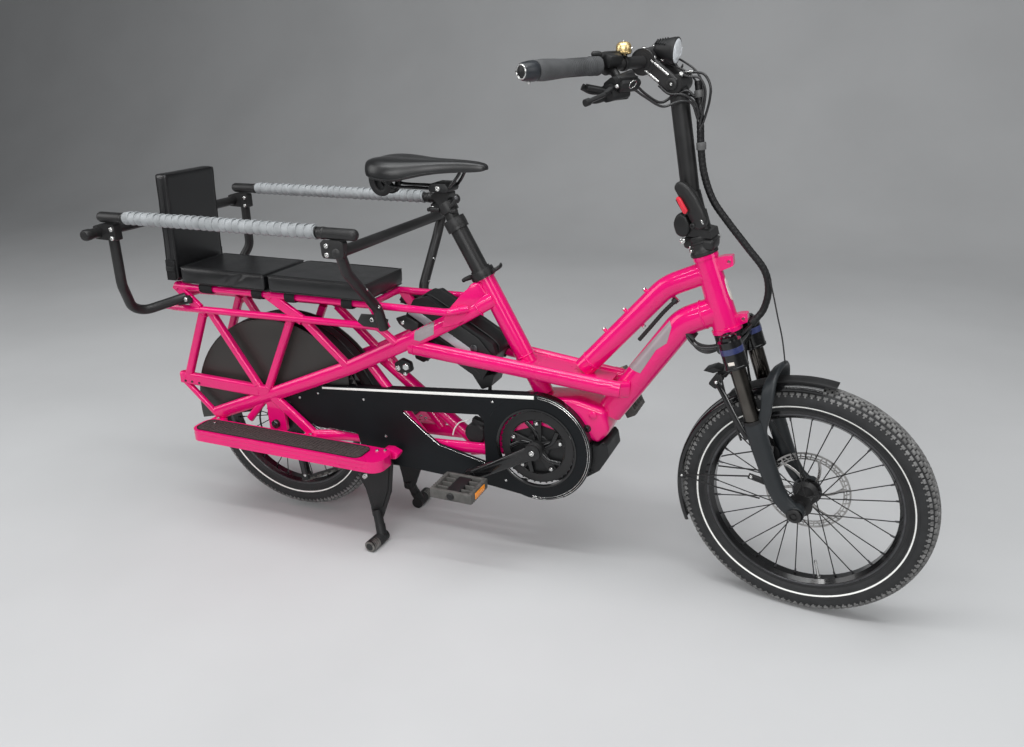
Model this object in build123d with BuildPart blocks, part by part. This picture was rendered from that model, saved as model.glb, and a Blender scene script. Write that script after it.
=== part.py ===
from build123d import *
import math
import os

os.makedirs("parts", exist_ok=True)

# Electric cargo bicycle with a long rear rack, standing on its centre stand.
# Millimetres. The bicycle's own frame: x forward from the rear axle, y to its
# left, z up, with both axles 254 above zero. place() then pitches it nose down
# until its stand feet and front tyre are level, and moves it to the part's frame.

# ---------------------------------------------------------------- dimensions
WHEEL_R = 263.0          # 20 in wheel with a 60 mm tyre
TYRE_HALF = 30.0
HUB_Z = 254.0
WHEELBASE = 1301.3
RIM_IN, RIM_BEAD, RIM_OUT, RIM_HALF = 190.0, 200.5, 209.0, 17.0
DISC_R = 90.0
HEAD_ANGLE = 70.0        # degrees from the ground
STEER_PT = (1088.3, 0.0, 683.3)
STEER_REST = -8.4        # degrees, turned right as it stands
BB = (716.0, 0.0, 295.0)
CRANK = 172.5
CRANK_REST = 208.2       # degrees from +x about +y's mirror, right arm points back and down
SEAT_TOP, SEAT_LOW = (565.0, 0.0, 682.0), (716.0, 0.0, 410.0)
STAND_PIVOT = (262.0, 0.0, 152.0)
FOOT_X, FOOT_Z, FOOT_R = 308.0, -5.0, 15.0
RAIL_Y, RAIL_Z = 236.5, 801.0
RACK_Y, RACK_Z = 71.0, 600.0
SIDE_Y, SIDE_Z = 78.0, 545.0
TRUSS_Y = 70.0
FOLD_PT = (1050.0, 33.0, 789.0)
FRONT_HUB = (WHEELBASE, 0.0, HUB_Z)
REAR_HUB = (0.0, 0.0, HUB_Z)

# Level: the feet's underside and the front tyre on one floor.
PITCH = 0.6167
ORIGIN_X, ORIGIN_Z = 613.1, -23.315

ca, sa = math.cos(math.radians(HEAD_ANGLE)), math.sin(math.radians(HEAD_ANGLE))
UP = Vector(-ca, 0, sa)      # up the steering axis
FWD = Vector(sa, 0, ca)      # forward, square to it


def fork(s, f=0.0, y=0.0):
    """Point s down the steering axis, f forward of it, y to the left."""
    return Vector(*STEER_PT) - UP * s + FWD * f + Vector(0, y, 0)


def place(piece, name, turned=False):
    """Label, turn with the steering if it turns, set level, write."""
    shape = piece.part
    if turned:
        shape = shape.rotate(Axis(STEER_PT, (-ca, 0, sa)), STEER_REST)
    shape = shape.rotate(Axis.Y, PITCH)
    shape = shape.moved(Location((-ORIGIN_X, 0, -ORIGIN_Z)))
    shape.label = name
    export_step(shape, f"parts/{name}.step")


def frame_at(a, b):
    """Plane at a, facing b, its x across the bicycle."""
    d = Vector(*b) - Vector(*a)
    side = Vector(0, 1, 0) if abs(d.normalized().Y) < 0.95 else Vector(1, 0, 0)
    return Plane(origin=a, x_dir=side - d * (side.dot(d) / d.dot(d)), z_dir=d), d.length


def bar(a, b, wide, deep=None, corner=None, mode=Mode.ADD):
    """Straight tube from a to b: round, or wide across by deep."""
    plane, length = frame_at(a, b)
    with BuildSketch(plane) as outline:
        if deep is None:
            Circle(wide / 2)
        elif corner is None:
            Ellipse(wide / 2, deep / 2)
        else:
            RectangleRounded(wide, deep, corner)
    extrude(outline.sketch, amount=length, mode=mode)


def bent(points, radius, wide, deep=None):
    """Bent tube through points, its corners eased by radius."""
    with BuildLine() as path:
        FilletPolyline(*points, radius=radius)
    plane, _ = frame_at(points[0], points[1])
    with BuildSketch(plane) as outline:
        if deep is None:
            Circle(wide / 2)
        else:
            Ellipse(wide / 2, deep / 2)
    sweep(outline.sketch, path=path.wires()[0])


def slab(points, y0, y1, radius=None, mode=Mode.ADD):
    """Flat piece with a side outline of x, z points, from y0 to y1."""
    with BuildSketch(Plane.XZ.offset(-y1)) as outline:
        with BuildLine():
            if radius is None:
                Polyline(*points, close=True)
            else:
                FilletPolyline(*points, radius=radius, close=True)
        make_face()
    extrude(outline.sketch, amount=y1 - y0, mode=mode)


def disc(centre, r, y0, y1, mode=Mode.ADD):
    """Round plate across the bicycle from y0 to y1."""
    with BuildSketch(Plane.XZ.offset(-y1)) as outline:
        with Locations((centre[0], centre[2])):
            Circle(r)
    extrude(outline.sketch, amount=y1 - y0, mode=mode)


def spin(centre, points):
    """Turned piece on a cross axle: radius, y points."""
    with BuildSketch(Plane(origin=centre, x_dir=(1, 0, 0), z_dir=(0, 0, 1))) as outline:
        with BuildLine():
            Polyline(*points, close=True)
        make_face()
    revolve(outline.sketch, axis=Axis(centre, (0, 1, 0)))


BOTH = (-1, 1)
# The head's two ears: s of the upper edge, tip and lower edge, tip f, hole s and f.
EARS = [((-68, -64, -44), 54, (-54, 43.5)), ((54, 57, 74), 50, (66, 39))]

# ---------------------------------------------------------------- main frame
# Head tube, with two ears in front for a carrier.
with BuildPart() as head_tube:
    with BuildSketch(Plane(origin=fork(79), x_dir=(0, 1, 0), z_dir=UP)):
        Circle(28.5)
    with BuildSketch(Plane(origin=fork(-78), x_dir=(0, 1, 0), z_dir=UP)):
        Circle(24)
    loft()
    bar(fork(84), fork(76), 63)
    bar(fork(-72), fork(-80), 52)
    for (s0, s1, s2), tip, (hs, hf) in EARS:
        ear = [fork(s0, 12), fork(s0, 36), fork(s1, tip), fork(s2, tip - 4), fork(s2 + 4, 20), fork(s2 + 8, 12)]
        slab([(v.X, v.Z) for v in ear], -11, 11, radius=3)
        hole = fork(hs, hf)
        disc((hole.X, 0, hole.Z), 3.25, -12, 12, mode=Mode.SUBTRACT)
place(head_tube, "head_tube")

# Upper main tube, from the head down to the side tubes' bridge.
with BuildPart() as top_tube:
    bent([(810, 0, 484), (987, 0, 686), (1070, 0, 724)], 110, 40, 47)
    add(head_tube.part, mode=Mode.SUBTRACT)
    for x, z in [(862, 572), (905, 621), (948, 668)]:
        bar((x, 0, z), (x - 10, 0, z + 9), 8)
place(top_tube, "top_tube")

# Down tube, deep and oval, to the motor housing.
with BuildPart() as down_tube:
    bent([(872, 0, 389), (1025, 0, 613), (1092, 0, 645)], 80, 50, 60)
    add(head_tube.part, mode=Mode.SUBTRACT)
    add(top_tube.part, mode=Mode.SUBTRACT)
place(down_tube, "down_tube")

with BuildPart() as seat_tube:
    bar(SEAT_TOP, SEAT_LOW, 44)
    bar(SEAT_TOP, (573, 0, 667.6), 50)
place(seat_tube, "seat_tube")

# Pink motor housing: hood over the drive unit.
with BuildPart() as motor_shell:
    slab([(584, 252), (584, 318), (632, 384), (700, 412), (800, 421), (872, 404),
          (884, 352), (858, 321), (800, 336), (720, 352), (652, 326), (640, 252)],
         -43, 43, radius=10)
    add(down_tube.part, mode=Mode.SUBTRACT)
    add(seat_tube.part, mode=Mode.SUBTRACT)
place(motor_shell, "motor_shell")

# Drive unit, its crank bore open.
with BuildPart() as motor:
    slab([(643, 248), (655, 322), (720, 348), (798, 332), (858, 316), (878, 340),
          (886, 296), (864, 258), (826, 230), (760, 214), (690, 216)], -45, 45, radius=9)
    disc(BB, 12.05, -50, 50, mode=Mode.SUBTRACT)
place(motor, "motor")

# Twin side tubes and the flat bridge between them. x, y, z of rear, middle, front.
SIDE_TUBE = [(404, 64, 508), (661, 50, 482), (905, 38, 457)]
with BuildPart() as side_tubes:
    for s in BOTH:
        p = [(x, s * y, z) for x, y, z in SIDE_TUBE]
        bent(p, 400, 26, 37)
    slab([(668, 492), (880, 470), (880, 464), (668, 486)], -48, 48)
    add(down_tube.part, mode=Mode.SUBTRACT)
    add(seat_tube.part, mode=Mode.SUBTRACT)
    add(top_tube.part, mode=Mode.SUBTRACT)
place(side_tubes, "side_tubes")

# Rear side frame: long diagonal stay, lower bar, dropout legs and truss.
STAY = [(598, 16, 628), (523, 42, 583), (428, 67, 533), (238.8, 70, 437.2), (-7.4, 70, 331.4), (-199, 70, 251)]
# x0, z0, x1, z1, across, deep
TRUSS = [
    (-301, 343, -20, 337, 18, 33),
    (-290, 330, -199, 247, 15, 15),
    (-8, 331, 112, 236, 17, 26),
    (-30, 320, -90, 252, 14, 20),
    (-280, 341, -192, 540, 18, 21),
    (-172, 540, -37, 336, 18, 20),
    (-22, 336, 77, 540, 18, 20),
    (119, 542, 232, 440, 18, 20),
]
rear_sides = {}
for s, side in ((-1, "right"), (1, "left")):
    with BuildPart() as rear_side:
        p = [(x, s * y, z) for x, y, z in STAY]
        bent(p, 120, 19, 37)
        for x0, z0, x1, z1, w, d in TRUSS:
            bar((x0, s * TRUSS_Y, z0), (x1, s * TRUSS_Y, z1), w, d, corner=6)
        # dropout plate round the axle
        y0, y1 = sorted((s * 66, s * 76))
        slab([(-26, 330), (26, 322), (30, 238), (10, 226), (-24, 232)], y0, y1, radius=6)
        disc(REAR_HUB, 7.5, y0 - 1, y1 + 1, mode=Mode.SUBTRACT)
        add(seat_tube.part, mode=Mode.SUBTRACT)
        add(side_tubes.part, mode=Mode.SUBTRACT)
    rear_sides[side] = rear_side
    place(rear_side, f"rear_frame_{side}")

# Lower stays from the motor housing to the dropouts, yoke, cross tube and braces.
CHAIN_STAY = [(116, 72, 237), (190, 47, 239), (600, 37, 262)]
with BuildPart() as lower_stays:
    for s in BOTH:
        bent([(x, s * y, z) for x, y, z in CHAIN_STAY], 60, 20, 30)
        bar((270, s * 40, 448), (424, s * 42, 262), 24)
    bar((276, -61, 452), (276, 61, 452), 28)
    bar((290, 0, 444), (552, 0, 246), 32)
    slab([(540, 240), (592, 250), (592, 276), (540, 266)], -40, 40)
    slab([(275, 226), (330, 229), (330, 247), (273, 244)], -38, 38)
    add(motor_shell.part, mode=Mode.SUBTRACT)
    for r in rear_sides.values():
        add(r.part, mode=Mode.SUBTRACT)
place(lower_stays, "lower_stays")

# Cargo rack: two deck rails, two lower side rails, cross tubes and side links.
# x0, y0, z0, x1, y1, z1, across, deep
LINKS = [
    (-272, 71, 600, -196, 78, 545, 13, 24),
    (18, 71, 600, 118, 78, 546, 13, 26),
    (316, 71, 600, 352, 78, 548, 13, 24),
]
CROSS_X = (-262, -120, 30, 170, 305)
with BuildPart() as cargo_rack:
    for s in BOTH:
        bar((-272, s * RACK_Y, RACK_Z - 3), (512, s * RACK_Y, RACK_Z + 2), 17)
        bent([(-336, s * 72, SIDE_Z - 4), (-280, s * SIDE_Y, SIDE_Z - 4), (330, s * SIDE_Y, SIDE_Z + 7), (372, s * 70, 514)], 24, 18)
        for x0, y0, z0, x1, y1, z1, w, d in LINKS:
            bar((x0, s * y0, z0), (x1, s * y1, z1), w, d, corner=4)
    for x in CROSS_X:
        bar((x, -RACK_Y, RACK_Z), (x, RACK_Y, RACK_Z), 16)
    bar((-336, -72, SIDE_Z - 4), (-336, 72, SIDE_Z - 4), 18)
    for r in rear_sides.values():
        add(r.part, mode=Mode.SUBTRACT)
place(cargo_rack, "cargo_rack")

# Running boards, one each side, on the lower frame ends.
with BuildPart() as running_boards:
    for s in BOTH:
        y0, y1 = sorted((s * 94, s * 175))
        with BuildSketch(Plane.XY.offset(217)):
            with BuildLine():
                FilletPolyline((-205, y0), (362, y0), (362, y1), (-205, y1), radius=30, close=True)
            make_face()
        extrude(amount=29)
        with BuildSketch(Plane.XY.offset(241)):
            with Locations((50, (y0 + y1) / 2)):
                RectangleRounded(470, 45, 18)
        extrude(amount=6, mode=Mode.SUBTRACT)
    for s in BOTH:
        for x in (-186, 108):
            slab([(x - 18, 224), (x + 18, 224), (x + 18, 242), (x - 18, 242)], *sorted((s * 70, s * 95)))
    for r in rear_sides.values():
        add(r.part, mode=Mode.SUBTRACT)
    add(lower_stays.part, mode=Mode.SUBTRACT)
place(running_boards, "running_boards")

# Skirt guards beside the rear wheel.
with BuildPart() as wheel_guards:
    for s in BOTH:
        y0, y1 = sorted((s * 46.5, s * 49.5))
        with BuildSketch(Plane.XZ.offset(-y1)):
            with Locations((0, 254)):
                Circle(272)
            with BuildLine():
                Polyline((-290, 215), (-100, 262), (-60, 350), (215, 350), (215, 418), (112, 540), (300, 540), (300, -40), (-290, -40), close=True)
            make_face(mode=Mode.SUBTRACT)
        extrude(amount=3)
place(wheel_guards, "wheel_guards")

# Rear mudguard: trough over the tyre, from 18 to 172 degrees.
with BuildPart() as rear_mudguard:
    with BuildSketch(Plane(origin=REAR_HUB, x_dir=(1, 0, 0), z_dir=(0, 0, 1))):
        with BuildLine():
            Polyline((258, -33), (271, -33), (275, -25), (275, 25), (271, 33), (258, 33),
                     (258, 31), (269.5, 31), (272.5, 24), (272.5, -24), (269.5, -31), (258, -31), close=True)
        make_face()
    revolve(axis=Axis(REAR_HUB, (0, 1, 0)), revolution_arc=-152)
    rear_mudguard.part = rear_mudguard.part.rotate(Axis(REAR_HUB, (0, 1, 0)), -20)
place(rear_mudguard, "rear_mudguard")

# ---------------------------------------------------------------- power
a30 = math.radians(-30)
bx, bz = math.cos(a30), math.sin(a30)


def on_pack(u, v):
    """Side point on the battery: u along it, v square to it."""
    return (503 + u * bx - v * bz, 534 + u * bz + v * bx)


with BuildPart() as battery:
    slab([on_pack(-122, -48), on_pack(112, -48), on_pack(112, 30), on_pack(92, 48), on_pack(-98, 48), on_pack(-122, 24)], -44, 44, radius=8)
    slab([on_pack(70, -50), on_pack(120, -74), on_pack(136, -52), on_pack(128, -20), on_pack(110, -40)], -30, 30, radius=4)
    for s in BOTH:
        slab([on_pack(-110, -8), on_pack(116, -8), on_pack(116, 12), on_pack(-110, 12)], *sorted((s * 43, s * 47.5)))
    add(seat_tube.part, mode=Mode.SUBTRACT)
    add(side_tubes.part, mode=Mode.SUBTRACT)
    for r in rear_sides.values():
        add(r.part, mode=Mode.SUBTRACT)
place(battery, "battery")

# Chain guard: long panel, open ring round the chainring, three-sided window.
with BuildPart() as chain_guard:
    slab([(22, 330), (60, 352), (130, 371), (716, 428), (716, 166), (580, 180), (250, 190), (236, 254), (110, 256), (60, 268), (22, 300)], -60, -57)
    disc(BB, 131, -60, -57)
    slab([(368, 338), (572, 358), (586, 344), (588, 240), (466, 266), (424, 296)], -61, -56, mode=Mode.SUBTRACT)
    disc(BB, 92, -61, -56, mode=Mode.SUBTRACT)
    slab([(130, 368), (716, 425), (716, 428), (130, 371)], -60, -40)
    add(wheel_guards.part, mode=Mode.SUBTRACT)
    add(lower_stays.part, mode=Mode.SUBTRACT)
place(chain_guard, "chain_guard")

# Rear gear changer with its two wheels in a cage, and the chain's lower run.
with BuildPart() as derailleur:
    disc((16, 0, 198), 14, -64, -58)
    bar((16, -62, 198), (44, -52, 174), 16, 16, corner=4)
    slab([(34, 186), (54, 182), (66, 92), (48, 86)], -46, -43, radius=6)
    slab([(34, 186), (54, 182), (66, 92), (48, 86)], -57, -54, radius=6)
    disc((44, 0, 174), 15, -53, -47)
    disc((56, 0, 104), 15, -53, -47)
    bar((44, -58, 174), (44, -42, 174), 7)
    bar((56, -58, 104), (56, -42, 104), 7)
    slab([(56, 88), (250, 178), (690, 199), (689, 207), (247, 186), (54, 98)], -54, -47)
place(derailleur, "derailleur")

# ---------------------------------------------------------------- seat, rails
with BuildPart() as seatpost:
    top = (478, 0, 838)
    bar((564.4, 0, 683), (503, 0, 792), 40)
    bar((512, 0, 776), (499, 0, 799), 50)
    bar((503, 0, 792), top, 32)
    bar((572, 0, 669.6), (562, 0, 687.6), 56)
    bar((572, 0, 669.6), (562, 0, 687.6), 50, mode=Mode.SUBTRACT)
    bar((564.4, 0, 683.4), (560, 0, 691), 46)
    slab([(452, 850), (470, 862), (500, 858), (492, 834), (470, 830)], -16, 16, radius=4)
    add(seat_tube.part, mode=Mode.SUBTRACT)
place(seatpost, "seatpost")

# Saddle sections: x, half width, low z, high z.
SADDLE = [(306, 50, 898, 924), (334, 78, 890, 933), (386, 81, 884, 933), (450, 50, 894, 930), (520, 25, 899, 927), (586, 14, 903, 919)]
with BuildPart() as saddle:
    for x, w, z0, z1 in SADDLE:
        with BuildSketch(Plane(origin=(x, 0, (z0 + z1) / 2), x_dir=(0, 1, 0), z_dir=(1, 0, 0))):
            RectangleRounded(2 * w, z1 - z0, 0.42 * (z1 - z0))
    loft(ruled=True)
    for s in BOTH:
        bent([(330, s * 30, 895), (356, s * 24, 868), (490, s * 22, 868), (524, s * 14, 908)], 14, 7)
    slab([(458, 862), (500, 862), (496, 876), (462, 876)], -28, 28, radius=3)
    slab([(316, 852), (326, 894), (350, 894), (352, 852)], -26, 26, radius=5)
    add(seatpost.part, mode=Mode.SUBTRACT)
place(saddle, "saddle")

# Seat pads and backrest: plain closed solids. x0, x1, z0, z1, half width, top's lean
SOFT = {"seat_pad_rear": (-238, 24, 611, 654, 90, 0), "seat_pad_front": (30, 312, 611, 654, 90, 0), "backrest": (-281, -245, 613, 884, 88, 13)}
for name, (x0, x1, z0, z1, w, lean) in SOFT.items():
    with BuildPart() as pad:
        slab([(x0, z0), (x1, z0), (x1 + lean, z1), (x0 + lean, z1)], -w, w, radius=9)
    place(pad, name)

with BuildPart() as grab_rails:
    for s in BOTH:
        bar((-308, s * RAIL_Y, RAIL_Z), (398, s * RAIL_Y, RAIL_Z), 25)
        bar((-224, s * RAIL_Y, RAIL_Z), (300, s * RAIL_Y, RAIL_Z), 30)
place(grab_rails, "grab_rails")

# Rear hoop: crossbar behind the backrest, curved legs to the rack's end.
with BuildPart() as rear_hoop:
    bar((-307, -282, 766), (-307, 282, 766), 24)
    for s in BOTH:
        bent([(-274, s * 236, 776), (-276, s * 236, 640), (-312, s * 180, 548), (-232, s * 84, 574)], 44, 24)
        slab([(-322, 750), (-256, 748), (-256, 786), (-296, 787), (-322, 780)], *sorted((s * 226, s * 247)), radius=5)
        slab([(-262, 562), (-214, 582), (-205, 572), (-208, 562), (-250, 552)], *sorted((s * 88.5, s * 94)))
        bar((-226, s * 86, 572), (-226, s * 93, 572), 16)
    add(grab_rails.part, mode=Mode.SUBTRACT)
    add(cargo_rack.part, mode=Mode.SUBTRACT)
    for r in rear_sides.values():
        add(r.part, mode=Mode.SUBTRACT)
place(rear_hoop, "rear_hoop")

# Front hoop: crossbar behind the seatpost, legs down to the rack's front.
with BuildPart() as front_hoop:
    bar((350, -237, 762), (350, 237, 762), 24)
    for s in BOTH:
        bent([(350, s * 237, 768), (346, s * 208, 712), (353, s * 110, 606), (360, s * 100, 556)], 30, 24)
        slab([(318, 750), (362, 750), (366, 786), (324, 787)], *sorted((s * 226, s * 247)), radius=5)
        slab([(296, 562), (360, 556), (366, 576), (340, 584), (302, 582)], *sorted((s * 87.5, s * 96)))
    add(grab_rails.part, mode=Mode.SUBTRACT)
place(front_hoop, "front_hoop")

# ---------------------------------------------------------------- stand
with BuildPart() as stand_bracket:
    slab([(271, 229), (268, 190), (252, 160), (246, 146), (262, 133), (280, 141), (322, 204), (322, 230)], -36, 36, radius=4)
    slab([(280, 232), (280, 178), (310, 198), (310, 232)], -22, 22, mode=Mode.SUBTRACT)
    disc(STAND_PIVOT, 12.05, -40, 40, mode=Mode.SUBTRACT)
    add(lower_stays.part, mode=Mode.SUBTRACT)
place(stand_bracket, "stand_bracket")

with BuildPart() as stand:
    bar((262, -84, 152), (262, 84, 152), 24)
    for s in BOTH:
        slab([(258, 180), (346, 214), (334, 119), (312, 62), (303, 38), (276, 38), (273, 70), (262, 118), (247, 146)], *sorted((s * 78, s * 86)), radius=8)
        bar((289, s * 84, 62), (306, s * 98, 4), 24)
        bar((FOOT_X, s * 86, FOOT_Z), (FOOT_X - 4, s * 152, FOOT_Z), 2 * FOOT_R)
place(stand, "stand")

# ---------------------------------------------------------------- wheels
# front and rear hub shells: radius, y from right to left
FRONT_SHELL = [(7.6, -47), (12, -47), (12, -32), (26, -31), (26, -27), (17, -22), (17, 22), (26, 27), (26, 31), (20, 33), (20, 47), (7.6, 47)]
REAR_SHELL = [(7.6, -63), (17, -63), (17, -57), (36, -56), (44, -49), (52, -43), (58, -37), (62, -31), (62, -28), (22, -27), (26, -22), (26, -18), (18, -12),
              (18, 24), (26, 28), (26, 32), (20, 34), (20, 62), (7.6, 62)]
# hub, rim spoke plane left and right: flange y
for name, hub, shell, fl in (("front", FRONT_HUB, FRONT_SHELL, (-29, 29)), ("rear", REAR_HUB, REAR_SHELL, (-20, 30))):
    turned = name == "front"
    with BuildPart() as rim:
        spin(hub, [(RIM_IN, -9), (RIM_IN, 9), (197, RIM_HALF), (RIM_OUT, RIM_HALF), (RIM_OUT, 14.6), (RIM_BEAD, 14), (RIM_BEAD, -14), (RIM_OUT, -14.6), (RIM_OUT, -RIM_HALF), (197, -RIM_HALF)])
    place(rim, f"{name}_rim", turned)
    with BuildPart() as tyre:
        with BuildSketch(Plane(origin=hub, x_dir=(1, 0, 0), z_dir=(0, 0, 1))):
            with Locations((WHEEL_R - TYRE_HALF, 0)):
                RectangleRounded(2 * TYRE_HALF, 2 * TYRE_HALF, 22)
            with Locations((206.5, 0)):
                Rectangle(12, 27.8)
            for s in BOTH:
                with Locations((200, s * 22)):
                    Rectangle(18.8, 16, mode=Mode.SUBTRACT)
        revolve(axis=Axis(hub, (0, 1, 0)))
    place(tyre, f"{name}_tyre", turned)
    with BuildPart() as wheel_hub:
        spin(hub, shell)
        for i in range(28):
            side = i % 2
            lean = math.radians(34 if (i // 2) % 2 else -34)
            a = math.radians(360 / 28 * i)
            y0 = fl[side] + (2.0 if (i // 2) % 2 else -2.0)
            y1 = -4 if side == 0 else 4
            p0 = (hub[0] + 23.5 * math.cos(a + lean), y0, hub[2] + 23.5 * math.sin(a + lean))
            p1 = (hub[0] + 189.8 * math.cos(a), y1, hub[2] + 189.8 * math.sin(a))
            bar(p0, p1, 2.4)
    place(wheel_hub, f"{name}_hub", turned)
    with BuildPart() as brake_disc:
        disc(hub, DISC_R, 37, 39)
        disc(hub, 74, 36, 40, mode=Mode.SUBTRACT)
        for i in range(6):
            a = math.radians(60 * i)
            b = a + math.radians(28)
            bar((hub[0] + 18 * math.cos(a), 38, hub[2] + 18 * math.sin(a)), (hub[0] + 76 * math.cos(b), 38, hub[2] + 76 * math.sin(b)), 2, 9, corner=0.8)
        disc(hub, 24, 37, 39)
        disc(hub, 20.1, 30, 45, mode=Mode.SUBTRACT)
    place(brake_disc, f"{name}_disc", turned)

# Rear axle, fixed in the dropouts.
with BuildPart() as rear_axle:
    bar((0, -84, 254), (0, 84, 254), 15)
    for s in BOTH:
        disc(REAR_HUB, 11, *sorted((s * 76.2, s * 84)))
place(rear_axle, "rear_axle")

with BuildPart() as rear_caliper:
    slab([(26, 316), (62, 330), (98, 300), (84, 276), (58, 292), (26, 296)], 44, 66, radius=5)
    slab([(44, 322), (66, 326), (92, 298), (82, 284), (60, 298)], 28, 32)
    slab([(70, 336), (84, 334), (104, 304), (92, 294)], 28, 60)
    add(rear_sides["left"].part, mode=Mode.SUBTRACT)
place(rear_caliper, "rear_caliper")

# ---------------------------------------------------------------- fork
STANCHION_F, LEG_Y = 22.0, 62.0
with BuildPart() as fork_upper:
    bar(fork(85), fork(112), 60)
    for s in BOTH:
        bar(fork(88, STANCHION_F, s * LEG_Y), fork(140, STANCHION_F, s * LEG_Y), 47)
        bar(fork(88, STANCHION_F, s * LEG_Y), fork(300, STANCHION_F, s * LEG_Y), 32)
    bar(fork(106, 12, -LEG_Y), fork(106, 12, LEG_Y), 40, 26, corner=8)
    for s in BOTH:
        bar(fork(80, STANCHION_F, s * LEG_Y), fork(89, STANCHION_F, s * LEG_Y), 34)
    bar(fork(60), fork(84.8), 74, mode=Mode.SUBTRACT)
place(fork_upper, "fork_upper", True)

# Lower legs with the arch ahead of the uppers, and the axle.
ARCH = [(322, 30, 62), (252, 54, 62), (187, 75, 52), (187, 75, -52), (252, 54, -62), (322, 30, -62)]
with BuildPart() as fork_lowers:
    for s in BOTH:
        bar(fork(284, STANCHION_F, s * LEG_Y), fork(452, STANCHION_F + 6, s * LEG_Y), 42)
        bar(fork(400, 26, s * 62), fork(484, 52, s * 60), 24, 38, corner=8)
        bar(fork(476.3, 53.3, s * 50), fork(476.3, 53.3, s * 76), 30)
    bent([fork(*p) for p in ARCH], 16, 20)
    bar(fork(476.3, 53.3, -78), fork(476.3, 53.3, 78), 15)
    add(fork_upper.part, mode=Mode.SUBTRACT)
place(fork_lowers, "fork_lowers", True)

# Front mudguard: trough from 84 to 204 degrees.
with BuildPart() as front_mudguard:
    with BuildSketch(Plane(origin=FRONT_HUB, x_dir=(1, 0, 0), z_dir=(0, 0, 1))):
        with BuildLine():
            Polyline((258, -32), (268, -32), (272, -24), (272, 24), (268, 32), (258, 32),
                     (258, 30), (267, 30), (269.5, 23), (269.5, -23), (267, -30), (258, -30), close=True)
        make_face()
    revolve(axis=Axis(FRONT_HUB, (0, 1, 0)), revolution_arc=-120)
    front_mudguard.part = front_mudguard.part.rotate(Axis(FRONT_HUB, (0, 1, 0)), -84)
place(front_mudguard, "front_mudguard", True)

with BuildPart() as front_caliper:
    slab([(1206, 286), (1240, 292), (1240, 330), (1200, 356), (1180, 334)], 44, 62, radius=6)
    slab([(1210, 290), (1236, 294), (1220, 336), (1196, 350), (1184, 334)], 28, 32)
    slab([(1222, 334), (1202, 358), (1190, 350), (1210, 324)], 28, 58)
    add(fork_lowers.part, mode=Mode.SUBTRACT)
place(front_caliper, "front_caliper", True)

# Post base on the head, with the fold's lower half and its eye.
with BuildPart() as post_base:
    bar(fork(-80.6), fork(-120), 50)
    bar(fork(-80.6), fork(-89), 54)
    slab([(1020, 797), (1080, 797), (1086, 770), (1026, 770)], -23, 23, radius=4)
    bar((1026, FOLD_PT[1], FOLD_PT[2]), (1076, FOLD_PT[1], FOLD_PT[2]), 14)
    slab([(1026, 783), (1076, 783), (1076, 796), (1026, 796)], 20, 33)
    with BuildSketch(Plane(origin=(1054, 0, 797), x_dir=(0, 1, 0), z_dir=(0, 0, 1))):
        Rectangle(200, 200)
    extrude(amount=60, mode=Mode.SUBTRACT)
place(post_base, "post_base", True)

# Folding handlepost.
with BuildPart() as handlepost:
    bar((1051, 0, 797.6), (1036, 0, 842), 46)
    bar((1048, 0, 806), (1025, 0, 880), 40)
    bar((1025, 0, 880), (990, 0, 1086), 36)
    slab([(1020, 797.6), (1080, 797.6), (1076, 812), (1022, 820)], -24, 24)
    slab([(1000, 770), (1110, 770), (1110, 797.6), (1000, 797.6)], -40, 40, mode=Mode.SUBTRACT)
place(handlepost, "handlepost", True)

# Lever along the post, with its catch.
with BuildPart() as fold_lever:
    slab([(1003, 894), (1010, 908), (1028, 905), (1053, 886), (1077, 836), (1070, 818), (1046, 815)], -40, -24, radius=5)
    slab([(1009, 872), (1018, 877), (1038, 848), (1029, 842)], -46, -39, radius=2)
    slab([(1008, 836), (1030, 842), (1040, 806), (1024, 799), (1010, 800)], -36, -12, radius=4)
    add(handlepost.part, mode=Mode.SUBTRACT)
place(fold_lever, "fold_lever", True)

# Stem: two arms up and back to the bar clamp.
BAR_C = (931.0, 0.0, 1124.0)
with BuildPart() as stem:
    for s in BOTH:
        bar((992, s * 26, 1082), (931, s * 26, 1128), 12, 32, corner=5)
    bar((992, -30, 1084), (992, 30, 1084), 34)
    bar((BAR_C[0], -33, BAR_C[2]), (BAR_C[0], 33, BAR_C[2]), 46)
    bar((BAR_C[0], -34, BAR_C[2]), (BAR_C[0], 34, BAR_C[2]), 31.8, mode=Mode.SUBTRACT)
    add(handlepost.part, mode=Mode.SUBTRACT)
place(stem, "stem", True)

# Handlebar: back swept by 18 degrees, ends a little lower.
SWEEP, BAR_HALF = math.radians(20.0), 331.0


def on_bar(length, side, drop=0.0, ahead=0.0):
    """Point on the bar, length out from the middle; ahead is square to it."""
    run = max(length - 34, 0)
    x = BAR_C[0] - run * math.sin(SWEEP) + ahead * math.cos(SWEEP)
    y = min(length, 34) + run * math.cos(SWEEP) + ahead * math.sin(SWEEP)
    return (x, side * y, BAR_C[2] + run * 0.016 - drop)


with BuildPart() as handlebar:
    for s in BOTH:
        bar(on_bar(34, s), on_bar(BAR_HALF - 2, s), 22.2)
    bar(on_bar(34, -1), on_bar(34, 1), 31.8)
place(handlebar, "handlebar", True)

with BuildPart() as grips:
    for s in BOTH:
        bar(on_bar(150, s), on_bar(BAR_HALF, s), 36)
        bar(on_bar(149, s), on_bar(BAR_HALF - 2, s), 22.2, mode=Mode.SUBTRACT)
place(grips, "grips", True)

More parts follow.
